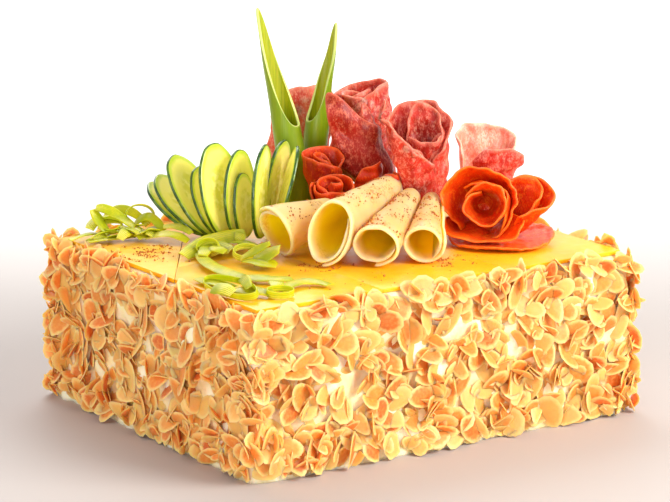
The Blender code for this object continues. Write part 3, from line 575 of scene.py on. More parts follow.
SALAMI_THICKNESS = 0.0016
SALAMI_GRID = (100, 38)
ON_BASE = 2.2 * SALAMI_THICKNESS
PINK_SLICES = dict(
    salami_pink_1=dict(foot=(-0.02, 0.104, 0.0), head=(-0.028, 0.1, 0.081), foot_radius=0.006,
                       head_radius=(0.025, 0.01), start=140, sweep=260, flare=0.8, ripple=(0.1, 3, 0),
                       peak=(180, -0.42, 45)),
    salami_pink_2=dict(foot=(0.036, 0.06, 0.0), head=(0.007, 0.06, 0.055), foot_radius=0.005,
                       head_radius=(0.018, 0.016), start=150, sweep=230, flare=0.7, peak=(272, 0.52, 34)),
    salami_pink_3=dict(foot=(0.032, 0.086, 0.0), head=(0.012, 0.084, 0.081), foot_radius=0.005,
                       head_radius=(0.0155, 0.0125), start=200, sweep=420, pitch=0.0022, flare=0.8,
                       ripple=(0.08, 3, 40)),
    salami_pink_4=dict(foot=(0.056, 0.046, 0.0), head=(0.047, 0.038, 0.069), foot_radius=0.006,
                       head_radius=(0.02, 0.016), start=215, sweep=-280, pitch=0.002, flare=0.7,
                       tilt=(90, 0.1), peak=(188, 0.45, 16)),
    salami_pink_5=dict(foot=(0.054, 0.031, 0.0), head=(0.0425, 0.014, 0.062), foot_radius=0.004,
                       head_radius=(0.0125, 0.0085), start=90, sweep=330, flare=0.8, tilt=(180, 0.28)),
    salami_pink_6=dict(foot=(0.086, 0.064, 0.0), head=(0.094, 0.056, 0.059), foot_radius=0.008,
                       head_radius=(0.017, 0.012), start=-20, sweep=220, flare=0.8, ripple=(0.1, 3, 30)),
    salami_pink_7=dict(foot=(0.096, 0.044, 0.0), head=(0.1, 0.041, 0.052), foot_radius=0.005,
                       head_radius=(0.015, 0.008), start=180, sweep=200, flare=0.8),
)
RED_SLICES = dict(
    salami_red_1=dict(foot=(-0.008, 0.042, 0.0), head=(-0.01, 0.034, 0.049), foot_radius=0.0035,
                      head_radius=(0.0121, 0.0111), start=-60, sweep=420, pitch=0.002, flare=0.9),
    salami_red_2=dict(foot=(-0.004, 0.018, 0.0), head=(-0.005, 0.006, 0.035), foot_radius=0.0032,
                      head_radius=(0.0121, 0.01), start=150, sweep=420, pitch=0.002, flare=0.9,
                      peak=(180, 0.2, 25)),
    salami_red_3=dict(foot=(0.014, 0.036, 0.0), head=(0.012, 0.03, 0.045), foot_radius=0.008,
                      head_radius=(0.014, 0.012), start=-110, sweep=140, flare=0.9),
    salami_red_4=dict(foot=(0.0895, 0.024, 0.019), head=(0.086, -0.01, 0.0295), foot_radius=0.005,
                      head_radius=(0.022, 0.024), start=-95, sweep=325, flare=0.6, ripple=(0.06, 3, 0)),
    salami_red_5=dict(foot=(0.09, 0.012, 0.02), head=(0.0885, -0.018, 0.0245), foot_radius=0.0036,
                      head_radius=(0.0125, 0.011), start=100, sweep=420, pitch=0.002, flare=0.7),
    salami_red_6=dict(foot=(0.104, 0.012, 0.0), head=(0.113, 0.0, 0.027), foot_radius=0.007,
                      head_radius=(0.02, 0.017), start=-90, sweep=200, flare=0.7, tilt=(90, 0.1)),
)
RED_FLOORS = dict(salami_red_4=ON_BASE, salami_red_5=ON_BASE + 0.0105, salami_red_6=ON_BASE)


def salami_finish(name, meat, deep, fat, fat_share, gloss=0.2):
    """Sliced sausage: soft streaks and flecks of fat and darker patches in the meat, and a paler cut edge."""
    finish, tree, shader = new_finish(name, Roughness=0.46, Subsurface_Weight=0.5, Subsurface_Scale=0.004,
                                      Subsurface_Radius=(1.0, 0.25, 0.12), Specular_IOR_Level=0.28,
                                      Coat_Weight=gloss, Coat_Roughness=0.2)
    where = place(tree, (1, 1, 0.6))
    coarse, fine = noise(tree, where, 400, 4, 0.62), noise(tree, where, 1300, 2)
    flecks = between(tree, reckon(tree, "ADD", reckon(tree, "MULTIPLY", coarse, 0.65),
                                  reckon(tree, "MULTIPLY", fine, 0.35)), 0.55 - fat_share, 0.75 - fat_share)
    lean = blend(tree, between(tree, noise(tree, where, 55, 3), 0.35, 0.68), meat, deep)
    # Painted shade: the inner face darkens towards the foot, deep in the fold, as if in shadow
    hollow = reckon(tree, "MULTIPLY", mark(tree, "side"), between(tree, mark(tree, "depth"), 0.95, 0.55))
    lean = blend(tree, reckon(tree, "MULTIPLY", hollow, 0.7), lean, deep)
    marbled = blend(tree, reckon(tree, "MULTIPLY", flecks, 0.62), lean, fat)
    rimmed = blend(tree, reckon(tree, "MULTIPLY", mark(tree, "edge"), 0.5), marbled, fat)
    tree.links.new(rimmed, shader.inputs["Base Color"])
    bump(tree, shader, reckon(tree, "ADD", coarse, fine), 0.0004)
    return finish


pink = salami_finish("pink salami", (0.66, 0.038, 0.018), (0.38, 0.012, 0.007), (0.95, 0.4, 0.27), 0.1)
# Darker copies of the pink and red finishes: painted shade for the slices that sit in shadow
shaded_pink = salami_finish("pink salami in painted shade", (0.44, 0.018, 0.006), (0.24, 0.006, 0.003), (0.84, 0.24, 0.13),
                          0.1)
light_pink = salami_finish("light pink salami", (0.84, 0.15, 0.075), (0.66, 0.06, 0.03), (0.97, 0.5, 0.34),
                           0.12)
pale_pink = salami_finish("pale pink salami", (0.88, 0.36, 0.25), (0.82, 0.24, 0.16), (0.98, 0.74, 0.58), 0.12)
red = salami_finish("paprika salami", (0.95, 0.105, 0.002), (0.6, 0.024, 0.001), (0.99, 0.27, 0.012), 0.07)
shaded_red = salami_finish("paprika salami in painted shade", (0.58, 0.032, 0.001), (0.32, 0.008, 0.001), (0.88, 0.15, 0.006),
                         0.05, 0.12)

# The inner folds of the same slices, each as its changes to the outer turn
FOLDS = dict(
    salami_pink_1=(dict(head_radius=(0.018, 0.006), start=200, sweep=220, head=(-0.024, 0.098, 0.076)),),
    salami_pink_2=(dict(head=(0.012, 0.062, 0.056), head_radius=(0.0125, 0.0115), start=215, sweep=240,
                        peak=(320, 0.28, 30)),
                   dict(head=(0.016, 0.062, 0.054), head_radius=(0.007, 0.0065), start=160, sweep=280,
                        peak=(20, 0.2, 40))),
    salami_pink_3=(dict(head=(0.0125, 0.083, 0.08), head_radius=(0.01, 0.008), start=20, sweep=330),
                   dict(head=(0.012, 0.083, 0.079), head_radius=(0.0055, 0.0045), start=150, sweep=300)),
    salami_pink_4=(dict(head=(0.05, 0.036, 0.066), head_radius=(0.014, 0.011), start=150, sweep=-230,
                        peak=(100, 0.1, 50)),
                   dict(head=(0.053, 0.034, 0.064), head_radius=(0.0075, 0.0065), start=60, sweep=-290,
                        peak=(100, 0.05, 50))),
    salami_pink_5=(dict(head_radius=(0.0075, 0.006), start=200, sweep=270),),
    salami_red_1=(dict(head=(-0.009, 0.034, 0.0485), head_radius=(0.008, 0.007), start=30, sweep=320,
                       pitch=0),),
    salami_red_2=(dict(head=(-0.004, 0.007, 0.036), head_radius=(0.0085, 0.007), start=-20, sweep=300,
                       pitch=0, peak=(0, 0, 30)),
                  dict(head=(-0.003, 0.007, 0.0365), head_radius=(0.0048, 0.004), start=140, sweep=290,
                       pitch=0, peak=(0, 0, 30))),
    salami_red_3=(dict(foot=(0.024, 0.034, 0.0), head=(0.026, 0.022, 0.04), foot_radius=0.005,
                       head_radius=(0.01, 0.008), start=-120, sweep=150, ripple=(0.3, 6, 0)),),
    salami_red_4=(dict(head=(0.0862, -0.011, 0.029), head_radius=(0.017, 0.0175), start=130, sweep=-200,
                       bulge=0.2),
                  dict(foot=(0.0895, 0.026, 0.015), head=(0.089, -0.018, 0.015), head_radius=(0.029, 0.015),
                       start=188, sweep=164, ripple=(0.05, 4, 0))),
    salami_red_6=(dict(head_radius=(0.014, 0.0115), start=-60, sweep=190),),
)


# The slices with another finish: the darker pink and red ones are painted shade, for slices that sit in
# shadow, and the paler pink ones are paler meat
UNUSUAL = dict(salami_pink_1=light_pink, salami_pink_2=shaded_pink, salami_pink_6=pale_pink,
               salami_red_1=shaded_red, salami_red_2=shaded_red, salami_red_3=shaded_red)


def put_slices(slices, seed, crumple, finish):
    """Every slice of a kind, as the piece that stands for its node: its outer turn, then its inner folds."""
    for number, (node, shape) in enumerate(slices.items()):
        sheets = []
        for turn, change in enumerate((dict(),) + FOLDS.get(node, ())):
            sheets.append(rolled_sheet(dict(shape, fall=0.3) | change, SALAMI_THICKNESS, *SALAMI_GRID,
                                       crumple=crumple, crease=0.024, seed=seed + 7 * number + turn,
                                       floor=RED_FLOORS.get(node, 0.0)))
        points, faces, marks = join_sheets(sheets)
        piece = put_mesh("sliced_" + node, points, faces, **marks)
        piece.data.materials.append(UNUSUAL.get(node, finish))
        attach(piece, "root")
        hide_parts(node)


put_slices(PINK_SLICES, 40, 0.0019, pink)
put_slices(RED_SLICES, 160, 0.0011, red)

BASE_RADIUS = 0.033
BASE_MIDDLE = (0.1, 0.003)
BASE_SIDES = 96
BASE_RINGS = 22


def base_points(count, rings):
    """The flat red slice: a disc, slightly uneven, whose rim rises in three low waves and at its back."""
    angle = 2 * math.pi * np.arange(count) / count
    part = np.concatenate([np.linspace(0.03, 0.97, rings), [0.99, 1.0]])[:, None]
    radius = BASE_RADIUS * part * (1 + 0.015 * np.sin(5 * angle + 1))
    wave = 0.001 * part ** 3 * (1 + np.sin(3 * angle + 0.6)) + 0.0022 * part ** 4 * (1 + np.sin(angle + 0.3))
    x, y = BASE_MIDDLE[0] + radius * np.cos(angle), BASE_MIDDLE[1] + radius * np.sin(angle)
    wave = wave + 0.0005 * part * (1 + soft_noise(np.stack([x, y, 0 * x], -1), 0.007, 12))
    return np.stack([x, y, SALAMI_THICKNESS / 2 + wave], -1), part


middle, part = base_points(BASE_SIDES, BASE_RINGS)
half = SALAMI_THICKNESS / 2 * edge_round(BASE_RINGS)[2:, None]
count, sides = middle.shape[:2]
top, under = middle + [0, 0, 1] * half[..., None], middle - [0, 0, 1] * half[..., None]
numbers = np.arange(2 * count * sides).reshape(2, count, sides)
numbers[1, -1] = numbers[0, -1]
faces = (grid_faces(numbers[0], closed=True)[:, ::-1].tolist() + grid_faces(numbers[1], closed=True).tolist()
         + [numbers[0, 0].tolist(), numbers[1, 0, ::-1].tolist()])
edge = np.broadcast_to(np.clip((part - 0.92) / 0.08, 0, 1), (count, sides)).ravel()
base = put_mesh("sliced_salami_red_base", to_cake(np.concatenate([top.reshape(-1, 3), under.reshape(-1, 3)])),
                faces, edge=np.tile(edge, 2))
base.data.materials.append(red)
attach(base, "root")
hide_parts("salami_red_base")

# Cucumber: ten slices cut aslant with the peel on, stood on their ends in a fan that leans to the left.
# The flesh is wet and pale with a brighter seed core, and the peel is a dark green band round the edge.

CUCUMBER_LENGTH = 0.06
CUCUMBER_WIDTH = 0.036
CUCUMBER_THICKNESS = 0.0024
# Each slice: the foot, the point that it leans towards, the turn of its face and its size
CUCUMBER_FAN = (
    ((-0.085, 0.014, 0.002), (-0.115, 0.038, 0.027), 60, 0.86),
    ((-0.081, 0.012, 0.002), (-0.109, 0.032, 0.031), 57, 0.88),
    ((-0.077, 0.01, 0.002), (-0.1, 0.026, 0.043), 54, 0.97),
    ((-0.073, 0.008, 0.002), (-0.089, 0.02, 0.045), 52, 0.78),
    ((-0.069, 0.006, 0.002), (-0.0785, 0.014, 0.059), 50, 1.0),
    ((-0.0625, 0.006, 0.002), (-0.062, 0.02, 0.059), 58, 0.92),
    ((-0.058, 0.0052, 0.002), (-0.0615, 0.012, 0.047), 62, 0.68),
    ((-0.05, 0.004, 0.002), (-0.0465, 0.012, 0.06), 72, 0.98),
    ((-0.044, 0.0285, 0.002), (-0.0345, 0.035, 0.061), 68, 0.96),
    ((-0.041, 0.0075, 0.002), (-0.026, 0.015, 0.06), 95, 0.98),
)
# Radius and height of the slice's section, from the middle of one face round the peel to the other
CUCUMBER_PROFILE = np.array([(0.03, 1), (0.25, 1), (0.45, 1), (0.62, 1), (0.78, 1), (0.9, 1), (0.955, 0.98),
                             (0.985, 0.85), (1.0, 0.5), (1.003, 0)])
CUCUMBER_PROFILE = np.vstack([CUCUMBER_PROFILE, CUCUMBER_PROFILE[-2::-1] * (1, -1)])


def cucumber_points(pivot, tip, turn, size, seed, sides=72):
    """A slice: its section carried round an oval whose long axis runs from the foot to the tip, with the peel
    slightly ridged and the faces bent by a smooth noise.
    """
    pivot, tip = np.asarray(pivot), np.asarray(tip)
    tall = (tip - pivot) / np.linalg.norm(tip - pivot)
    yaw = math.radians(turn)
    wide = np.array([-math.cos(yaw), -math.sin(yaw), 0.0])
    wide -= wide @ tall * tall
    wide /= np.linalg.norm(wide)
    thin = np.cross(tall, wide)
    angle = 2 * math.pi * np.arange(sides) / sides
    radius, height = CUCUMBER_PROFILE[:, :1], CUCUMBER_PROFILE[:, 1:]
    ridge = 1 + 0.006 * np.sin(9 * angle + seed) * radius ** 4
    t = radius * ridge * np.cos(angle) * CUCUMBER_LENGTH * size / 2
    w = radius * ridge * np.sin(angle) * CUCUMBER_WIDTH * size / 2
    points = pivot + tall * CUCUMBER_LENGTH * size / 2 + t[..., None] * tall + w[..., None] * wide
    bend = 0.0005 * soft_noise(points, 0.05, seed) * radius
    return points + (height * CUCUMBER_THICKNESS / 2 + bend)[..., None] * thin


finish, tree, shader = new_finish("cucumber", Roughness=0.22, Subsurface_Weight=0.6, Subsurface_Scale=0.008,
                                  Subsurface_Radius=(0.85, 1.0, 0.25), Coat_Weight=0.4, Coat_Roughness=0.1)
where = place(tree)
ring = mark(tree, "ring")
ringed = reckon(tree, "ADD", ring, reckon(tree, "MULTIPLY", noise(tree, where, 130, 3), 0.1))
core = blend(tree, between(tree, noise(tree, where, 260, 2), 0.4, 0.65), (0.72, 0.7, 0.1), (0.9, 0.86, 0.26))
flesh = blend(tree, between(tree, ringed, 0.5, 0.66), core, (0.88, 0.82, 0.18))
green = blend(tree, between(tree, ringed, 0.86, 1.0), flesh, (0.46, 0.58, 0.035))
peel = blend(tree, between(tree, noise(tree, where, 180, 2), 0.45, 0.7), (0.02, 0.075, 0.006),
             (0.1, 0.2, 0.015))
tree.links.new(blend(tree, between(tree, ring, 0.965, 0.985), green, peel), shader.inputs["Base Color"])
bump(tree, shader, noise(tree, where, 380, 3), 0.0003)
for number, (pivot, tip, turn, size) in enumerate(CUCUMBER_FAN):
    points = cucumber_points(pivot, tip, turn, size, number)
    rows, sides = points.shape[:2]
    numbers = np.arange(rows * sides).reshape(rows, sides)
    faces = grid_faces(numbers, closed=True)[:, ::-1].tolist()
    faces += [numbers[0].tolist(), numbers[-1, ::-1].tolist()]
    ring = np.broadcast_to(CUCUMBER_PROFILE[:, :1], (rows, sides))
    disc = put_mesh("cucumber_%02d" % (number + 1), to_cake(points).reshape(-1, 3), faces, ring=ring.ravel())
    disc.data.materials.append(finish)
    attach(disc, "root")
    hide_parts("cucumber_slice_%02d" % (number + 1))

# Spring onion leaves: two lengths of hollow green leaf, cut aslant to a long point and stood up between the
# cucumber and the salami. Fine veins run along them, and the cut edge is paler.

LEAF_THICKNESS = 0.0018
LEAVES = dict(
    leaf_left=dict(foot=(-0.024, 0.058, 0.0006), head=(-0.044, 0.058, 0.138), radius=0.0098, taper=0.42,
                   point_angle=150, low=0.46, power=1.5, bow=(-0.003, 0, 0)),
    leaf_right=dict(foot=(-0.021, 0.078, 0.0006), head=(-0.007, 0.078, 0.1255), radius=0.0085, taper=0.42,
                    point_angle=30, low=0.5, power=1.5, bow=(0.001, 0, 0)),
)


def leaf_points(u, v, foot, head, radius, taper, point_angle, low, power, bow):
    """A hollow leaf: a tube cut aslant, its rim highest towards point_angle and lowest opposite."""
    angle = 2 * math.pi * u
    foot, head, bow = (np.asarray(p, float) for p in (foot, head, bow))
    rim = low + (1 - low) * ((1 + np.cos(angle - math.radians(point_angle))) / 2) ** power
    along = v * rim
    r = radius * (1 - taper * along)
    axis = foot + along[..., None] * (head - foot) + (along ** 2)[..., None] * bow
    return axis + np.stack([r * np.cos(angle), r * np.sin(angle), np.zeros_like(r)], -1)


finish, tree, shader = new_finish("onion leaf", Roughness=0.38, Subsurface_Weight=0.3, Subsurface_Scale=0.003,
                                  Subsurface_Radius=(0.5, 1.0, 0.1), Specular_IOR_Level=0.35,
                                  Coat_Weight=0.1, Coat_Roughness=0.2)
veins = noise(tree, place(tree, (1, 1, 0.04)), 900, 2)
broad = noise(tree, place(tree, (1, 1, 0.3)), 90, 2)
outside = blend(tree, between(tree, broad, 0.35, 0.7), (0.11, 0.23, 0.001), (0.23, 0.34, 0.003))
# Painted shade: the outside darkens near the foot, where the leaf stands between the cucumber and the salami
outside = blend(tree, between(tree, mark(tree, "depth"), 0.16, 0.02), outside, (0.03, 0.1, 0.004))
outside = blend(tree, reckon(tree, "MULTIPLY", veins, 0.35), outside, (0.42, 0.48, 0.01))
hollow = blend(tree, between(tree, veins, 0.3, 0.7), (0.31, 0.38, 0.004), (0.46, 0.47, 0.01))
skin = blend(tree, mark(tree, "side"), outside, hollow)
tree.links.new(blend(tree, mark(tree, "edge"), skin, (0.66, 0.74, 0.22)), shader.inputs["Base Color"])
bump(tree, shader, veins, 0.0003)
for node, shape in LEAVES.items():
    columns, rows = 72, 90
    v = edged(rows, 0.012)
    u = np.arange(columns) / columns
    middle = leaf_points(*np.meshgrid(u, v), **shape)
    middle[..., :2] += (0.0004 * soft_noise(middle, 0.035, 81))[..., None]
    half = LEAF_THICKNESS / 2 * edge_round(rows)[:, None]
    points, faces, side, carried = thick_sheet(middle, np.broadcast_to(half, middle.shape[:2]), closed=True)
    edge = np.clip((v - 0.985) / 0.012, 0, 1)[:, None]
    leaf = put_mesh("onion_" + node, to_cake(points), faces, side=side, edge=carried(edge),
                    depth=carried(v[:, None]))
    leaf.data.materials.append(finish)
    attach(leaf, "root")
    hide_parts(node)

# Cut spring onion: three loose heaps of rings and split strips, from near white at the stem's end to bright
# green. They are thin, wet and a little see-through, and lie over each other as they fell.

ONION_THICKNESS = 0.0008
HEAP_FLOOR = 0.0002
STRIP_GRID = (24, 9)
RING_SIDES, RING_STEPS = 36, 5
# Each strip: its start, middle and end, width, turn and tone. Each ring: its centre, radius, width, lean,
# turn, tone and stretch. The scatter: its middle, its spread and the number of strips
HEAPS = dict(
    onion_heap_left=dict(
        strips=(
            ((-0.156, -0.004, 0.002), (-0.141, 0.004, 0.0022), (-0.122, 0.016, 0.002), 0.006, 0.0, 0.9),
            ((-0.152, 0.016, 0.019), (-0.142, 0.014, 0.017), (-0.128, 0.014, 0.007), 0.005, 0.8, 0.6),
            ((-0.154, 0.016, 0.018), (-0.15, 0.014, 0.011), (-0.144, 0.012, 0.003), 0.006, 0.3, 0.8),
            ((-0.11, 0.01, 0.008), (-0.1, 0.007, 0.009), (-0.092, 0.0, 0.006), 0.004, 0.5, 0.3),
            ((-0.12, 0.006, 0.002), (-0.106, 0.0, 0.006), (-0.094, -0.004, 0.002), 0.007, 0.2, 0.2),
            ((-0.156, 0.012, 0.006), (-0.15, 0.02, 0.01), (-0.136, 0.02, 0.009), 0.006, 0.4, 0.5),
            ((-0.15, 0.024, 0.003), (-0.138, 0.03, 0.015), (-0.12, 0.024, 0.006), 0.005, 0.7, 0.5),
            ((-0.13, 0.022, 0.004), (-0.12, 0.018, 0.013), (-0.11, 0.012, 0.005), 0.005, 0.6, 0.6),
        ),
        rings=(
            ((-0.125, 0.02, 0.0135), 0.0085, 0.005, 1.2, 0.3, 0.7),
            ((-0.143, 0.016, 0.008), 0.007, 0.005, 0.7, -0.3, 0.4),
        ),
        scatter=((-0.134, 0.012), (0.02, 0.01), 12),
    ),
    onion_heap_middle=dict(
        strips=(
            ((-0.095, -0.046, 0.0025), (-0.078, -0.024, 0.007), (-0.058, -0.012, 0.009), 0.009, 0.5, 0.8),
            ((-0.068, -0.012, 0.008), (-0.06, -0.026, 0.008), (-0.064, -0.038, 0.004), 0.005, 0.8, 0.5),
            ((-0.052, -0.06, 0.0025), (-0.046, -0.062, 0.006), (-0.036, -0.066, 0.012), 0.009, 0.6, 0.9),
            ((-0.06, -0.054, 0.003), (-0.052, -0.06, 0.009), (-0.042, -0.064, 0.015), 0.004, 0.9, 0.5),
            ((-0.086, -0.034, 0.003), (-0.074, -0.078, 0.003), (-0.05, -0.1, 0.002), 0.007, 0.1, 0.7),
            ((-0.06, -0.096, 0.0022), (-0.044, -0.104, 0.003), (-0.028, -0.102, 0.002), 0.008, 0.1, 0.8),
            ((-0.056, -0.056, 0.0025), (-0.046, -0.066, 0.0035), (-0.038, -0.07, 0.0022), 0.012, 0.0, 0.9),
        ),
        rings=(
            ((-0.057, -0.046, 0.005), 0.0075, 0.005, 0.5, 0.2, 0.3),
            ((-0.08, -0.04, 0.0068), 0.007, 0.005, 0.8, -0.5, 0.4),
        ),
        scatter=((-0.07, -0.036), (0.022, 0.018), 13),
    ),
    onion_heap_front=dict(
        strips=(
            ((-0.084, -0.098, 0.0016), (-0.074, -0.11, 0.0022), (-0.062, -0.122, 0.0016), 0.009, 0.05, 0.8),
            ((-0.036, -0.132, 0.002), (-0.022, -0.11, 0.0026), (-0.006, -0.116, 0.0016), 0.007, 0.1, 0.7),
            ((-0.062, -0.13, 0.0025), (-0.05, -0.136, 0.0035), (-0.038, -0.138, 0.002), 0.008, 0.2, 0.6),
        ),
        rings=(
            ((-0.035, -0.138, 0.0032), 0.0075, 0.0045, 0.15, 0.2, 0.5),
            ((-0.064, -0.128, 0.0036), 0.0105, 0.0045, 0.3, -0.96, 0.6, 2.3),
        ),
        scatter=((-0.056, -0.134), (0.014, 0.01), 3),
    ),
)


def strip_sheet(start, middle, end, width, turn, tone):
    """A split strip: a shallow channel carried along a curve through three points, narrower at its ends and
    rolled about the curve by turn. Gives points, faces and marks.
    """
    start, middle, end = (np.asarray(p, float) for p in (start, middle, end))
    steps = edged(STRIP_GRID[0], 0.03)
    t = steps[:, None]
    line = (1 - t) ** 2 * start + 2 * t * (1 - t) * (2 * middle - (start + end) / 2) + t ** 2 * end
    ahead = np.gradient(line, steps, axis=0)
    ahead /= np.linalg.norm(ahead, axis=1)[:, None]
    side = np.cross([0, 0, 1.0], ahead)
    side /= np.linalg.norm(side, axis=1)[:, None]
    over = np.cross(ahead, side)
    c, s = math.cos(turn), math.sin(turn)
    side, over = side * c + over * s, over * c - side * s
    across = 2 * edged(STRIP_GRID[1], 0.08) - 1
    half_width = 0.7 * width * (0.62 + 0.38 * np.sin(math.pi * t)) * (1 + 0.03 * np.sin(17 * t + 40 * tone))
    cup = 0.12 * half_width * (1 - across ** 2) + 0.0003 * across * np.sin(9 * t + 30 * tone)
    sheet = line[:, None] + (half_width * across)[..., None] * side[:, None] + cup[..., None] * over[:, None]
    ends, sides = (edge_round(count) for count in STRIP_GRID)
    half = ONION_THICKNESS / 2 * np.minimum(ends[:, None], sides[None, :])
    points, faces, side, carried = thick_sheet(sheet, half)
    fade = np.clip(tone + 0.9 * (t - 0.5) + 0.25 * np.abs(across), 0, 1)
    return points, faces, dict(side=side, tone=carried(fade), rib=carried(across * np.ones_like(t)))


def ring_sheet(centre, radius, width, lean, turn, tone, stretch=1.0):
    """A ring cut from the stem: a short oval tube, stretched by an oblique cut, leaned over and turned."""
    angle = 2 * math.pi * np.arange(RING_SIDES) / RING_SIDES
    steps = edged(RING_STEPS, 0.1)
    along = (steps[:, None] - 0.5) * width
    r = radius * (1 + 0.05 * np.cos(2 * angle + turn))
    flat = np.stack(np.broadcast_arrays(stretch * r * np.cos(angle), 0.8 * r * np.sin(angle), along), -1)
    placed = flat @ (turns_about(2, [turn]) @ turns_about(0, [lean]))[0].T + centre
    half = ONION_THICKNESS / 2 * edge_round(RING_STEPS)[:, None]
    points, faces, side, carried = thick_sheet(placed, half, closed=True)
    return points, faces, dict(side=side, tone=carried(tone + 0.4 * (steps[:, None] - 0.5)),
                               rib=carried(steps[:, None] - 0.5))


def scattered_strips(draw, centre, spread, count):
    """Short loose strips drawn round a heap's middle, each lying low with a small arch."""
    sheets = []
    for _ in range(count):
        x, y = np.array(centre) + draw.normal(size=2) * 0.5 * np.array(spread)
        length, way = draw.uniform(0.012, 0.026), draw.uniform(0, math.pi)
        run = 0.5 * length * np.array([math.cos(way), math.sin(way), 0])
        low = np.array([x, y, draw.uniform(0.0015, 0.006)])
        arch = np.array([0, 0, draw.uniform(0.0005, 0.003)])
        sheets.append(strip_sheet(low - run, low + arch, low + run, draw.uniform(0.0035, 0.0075),
                                  draw.uniform(-0.7, 0.7), draw.uniform(0.3, 1.0)))
    return sheets


finish, tree, shader = new_finish("cut onion", Roughness=0.4, Subsurface_Weight=0.6, Subsurface_Scale=0.006,
                                  Subsurface_Radius=(0.9, 1.0, 0.12), Specular_IOR_Level=0.3,
                                  Coat_Weight=0.12, Coat_Roughness=0.15)
where = place(tree)
veins = noise(tree, where, 500, 2)
green = blend(tree, between(tree, noise(tree, where, 120, 2), 0.35, 0.7), (0.34, 0.38, 0.001),
              (0.56, 0.5, 0.003))
white = blend(tree, veins, (0.62, 0.56, 0.022), (0.86, 0.8, 0.18))
skin = blend(tree, between(tree, mark(tree, "tone"), 0.15, 0.65), white, green)
ribs = reckon(tree, "SINE", reckon(tree, "MULTIPLY_ADD", mark(tree, "rib"), 22.0))
ribbed = blend(tree, between(tree, ribs, 0.2, 1.0), skin, (0.3, 0.42, 0.004))
tree.links.new(ribbed, shader.inputs["Base Color"])
bump(tree, shader, veins, 0.00012)
draw = np.random.default_rng(90)
for node, heap in HEAPS.items():
    sheets = [strip_sheet(*strip) for strip in heap["strips"]]
    sheets += [ring_sheet(*ring) for ring in heap["rings"]]
    sheets += scattered_strips(draw, *heap["scatter"])
    points, faces, marks = join_sheets(sheets)
    points[:, 2] = np.maximum(points[:, 2], HEAP_FLOOR)
    piece = put_mesh("loose_" + node, to_cake(points), faces, **marks)
    piece.data.materials.append(finish)
    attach(piece, "root")
    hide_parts(node)

# Paprika: coarse red-brown powder sprinkled over the left of the cheese, along the tops of the rolls and
# round their mouths, as grains of which most are under a millimetre across.

# The least and greatest half width of a grain, before it is stretched
GRAIN_SIZES = (0.00018, 0.00095)
ROLL_GRAINS = (150, 300, 360, 210)
# Each patch on the cheese: its middle and its spread in the show frame, and the number of grains
PATCHES = (
    ((-0.12, -0.026), (0.016, 0.012), 420),
    ((-0.01, -0.062), (0.01, 0.006), 130),
    ((0.062, -0.046), (0.012, 0.008), 150),
    ((0.03, -0.1), (0.034, 0.016), 50),
)


def put_grains(name, middles, draw):
    """Grains as one mesh: eight-sided specks of drawn sizes, stretched and turned by draw."""
    corners = np.array([(1, 0, 0), (0, 1, 0), (-1, 0, 0), (0, -1, 0), (0, 0, 1), (0, 0, -1)], float)
    sides = np.array([(0, 1, 4), (1, 2, 4), (2, 3, 4), (3, 0, 4), (1, 0, 5), (2, 1, 5), (3, 2, 5), (0, 3, 5)])
    count = len(middles)
    size = GRAIN_SIZES[0] + (GRAIN_SIZES[1] - GRAIN_SIZES[0]) * draw.uniform(0, 1, (count, 1, 1)) ** 3
    size = size * draw.uniform(0.5, 1.4, (count, 6, 1))
    turns = turns_about(2, draw.uniform(0, 2 * math.pi, count))
    points = middles[:, None] + np.einsum("nij,nkj->nki", turns, corners[None] * size)
    faces = sides[None] + (6 * np.arange(count))[:, None, None]
    return put_mesh(name, points.reshape(-1, 3), faces.reshape(-1, 3))


def on_roll(draw, shape, count):
    """Points on the upper side of a roll's outer turn, gathered into patches by smooth noise."""
    u = draw.uniform(1 - 360 / abs(shape["sweep"]), 1, 14 * count)
    v = draw.uniform(0.15, 0.95, 14 * count)
    step = 0.001
    here = wrap_points(u, v, **shape)
    round_way = wrap_points(u + step, v, **shape) - here
    mouth_way = wrap_points(u, v + step, **shape) - here
    normal = np.cross(round_way, mouth_way) * math.copysign(1, shape["sweep"])
    normal /= np.linalg.norm(normal, axis=1)[:, None]
    keep = (normal[:, 2] > 0.45) & (soft_noise(here, 0.016, 7) + 0.35 * draw.normal(size=len(here)) > 0.25)
    lowest = wrap_points(np.linspace(0, 1, 60)[None], np.linspace(0, 1, 9)[:, None], **shape)[..., 2].min()
    lift = SHEET_LIFT * ROLL_THICKNESS - lowest
    points = here + normal * (ROLL_THICKNESS / 2 + 0.0002) + [0, 0, lift]
    return points[keep][:count]


draw = np.random.default_rng(100)
spots = []
for middle, spread, count in PATCHES:
    flat = np.array(middle) + np.clip(draw.normal(size=(4 * count, 2)), -1.8, 1.8) * spread
    flat = np.column_stack([flat, np.full(4 * count, -0.00015)])
    on_cheese = (np.abs(to_cake(flat)[:, :2]) < CAKE_SIZE[:2] / 2 - 0.006).all(1)
    patchy = soft_noise(flat, 0.012, 8) + 0.3 * draw.normal(size=len(flat)) > 0.3
    spots.append(flat[on_cheese & patchy][:count])
for shape, count in zip(ROLLS.values(), ROLL_GRAINS):
    spots.append(on_roll(draw, shape, count))
dust = put_grains("paprika_grains", to_cake(np.concatenate(spots)), draw)
finish, tree, shader = new_finish("paprika", Roughness=0.8)
where = place(tree)
tree.links.new(blend(tree, noise(tree, where, 1200, 1), (0.3, 0.05, 0.004), (0.66, 0.19, 0.02)),
               shader.inputs["Base Color"])
dust.data.materials.append(finish)
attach(dust, "root")

# The stage: a pale sweep of card under and behind the cake, a large soft lamp at the right, weaker ones at
# the left and low in front, and the camera at the photograph's angle.


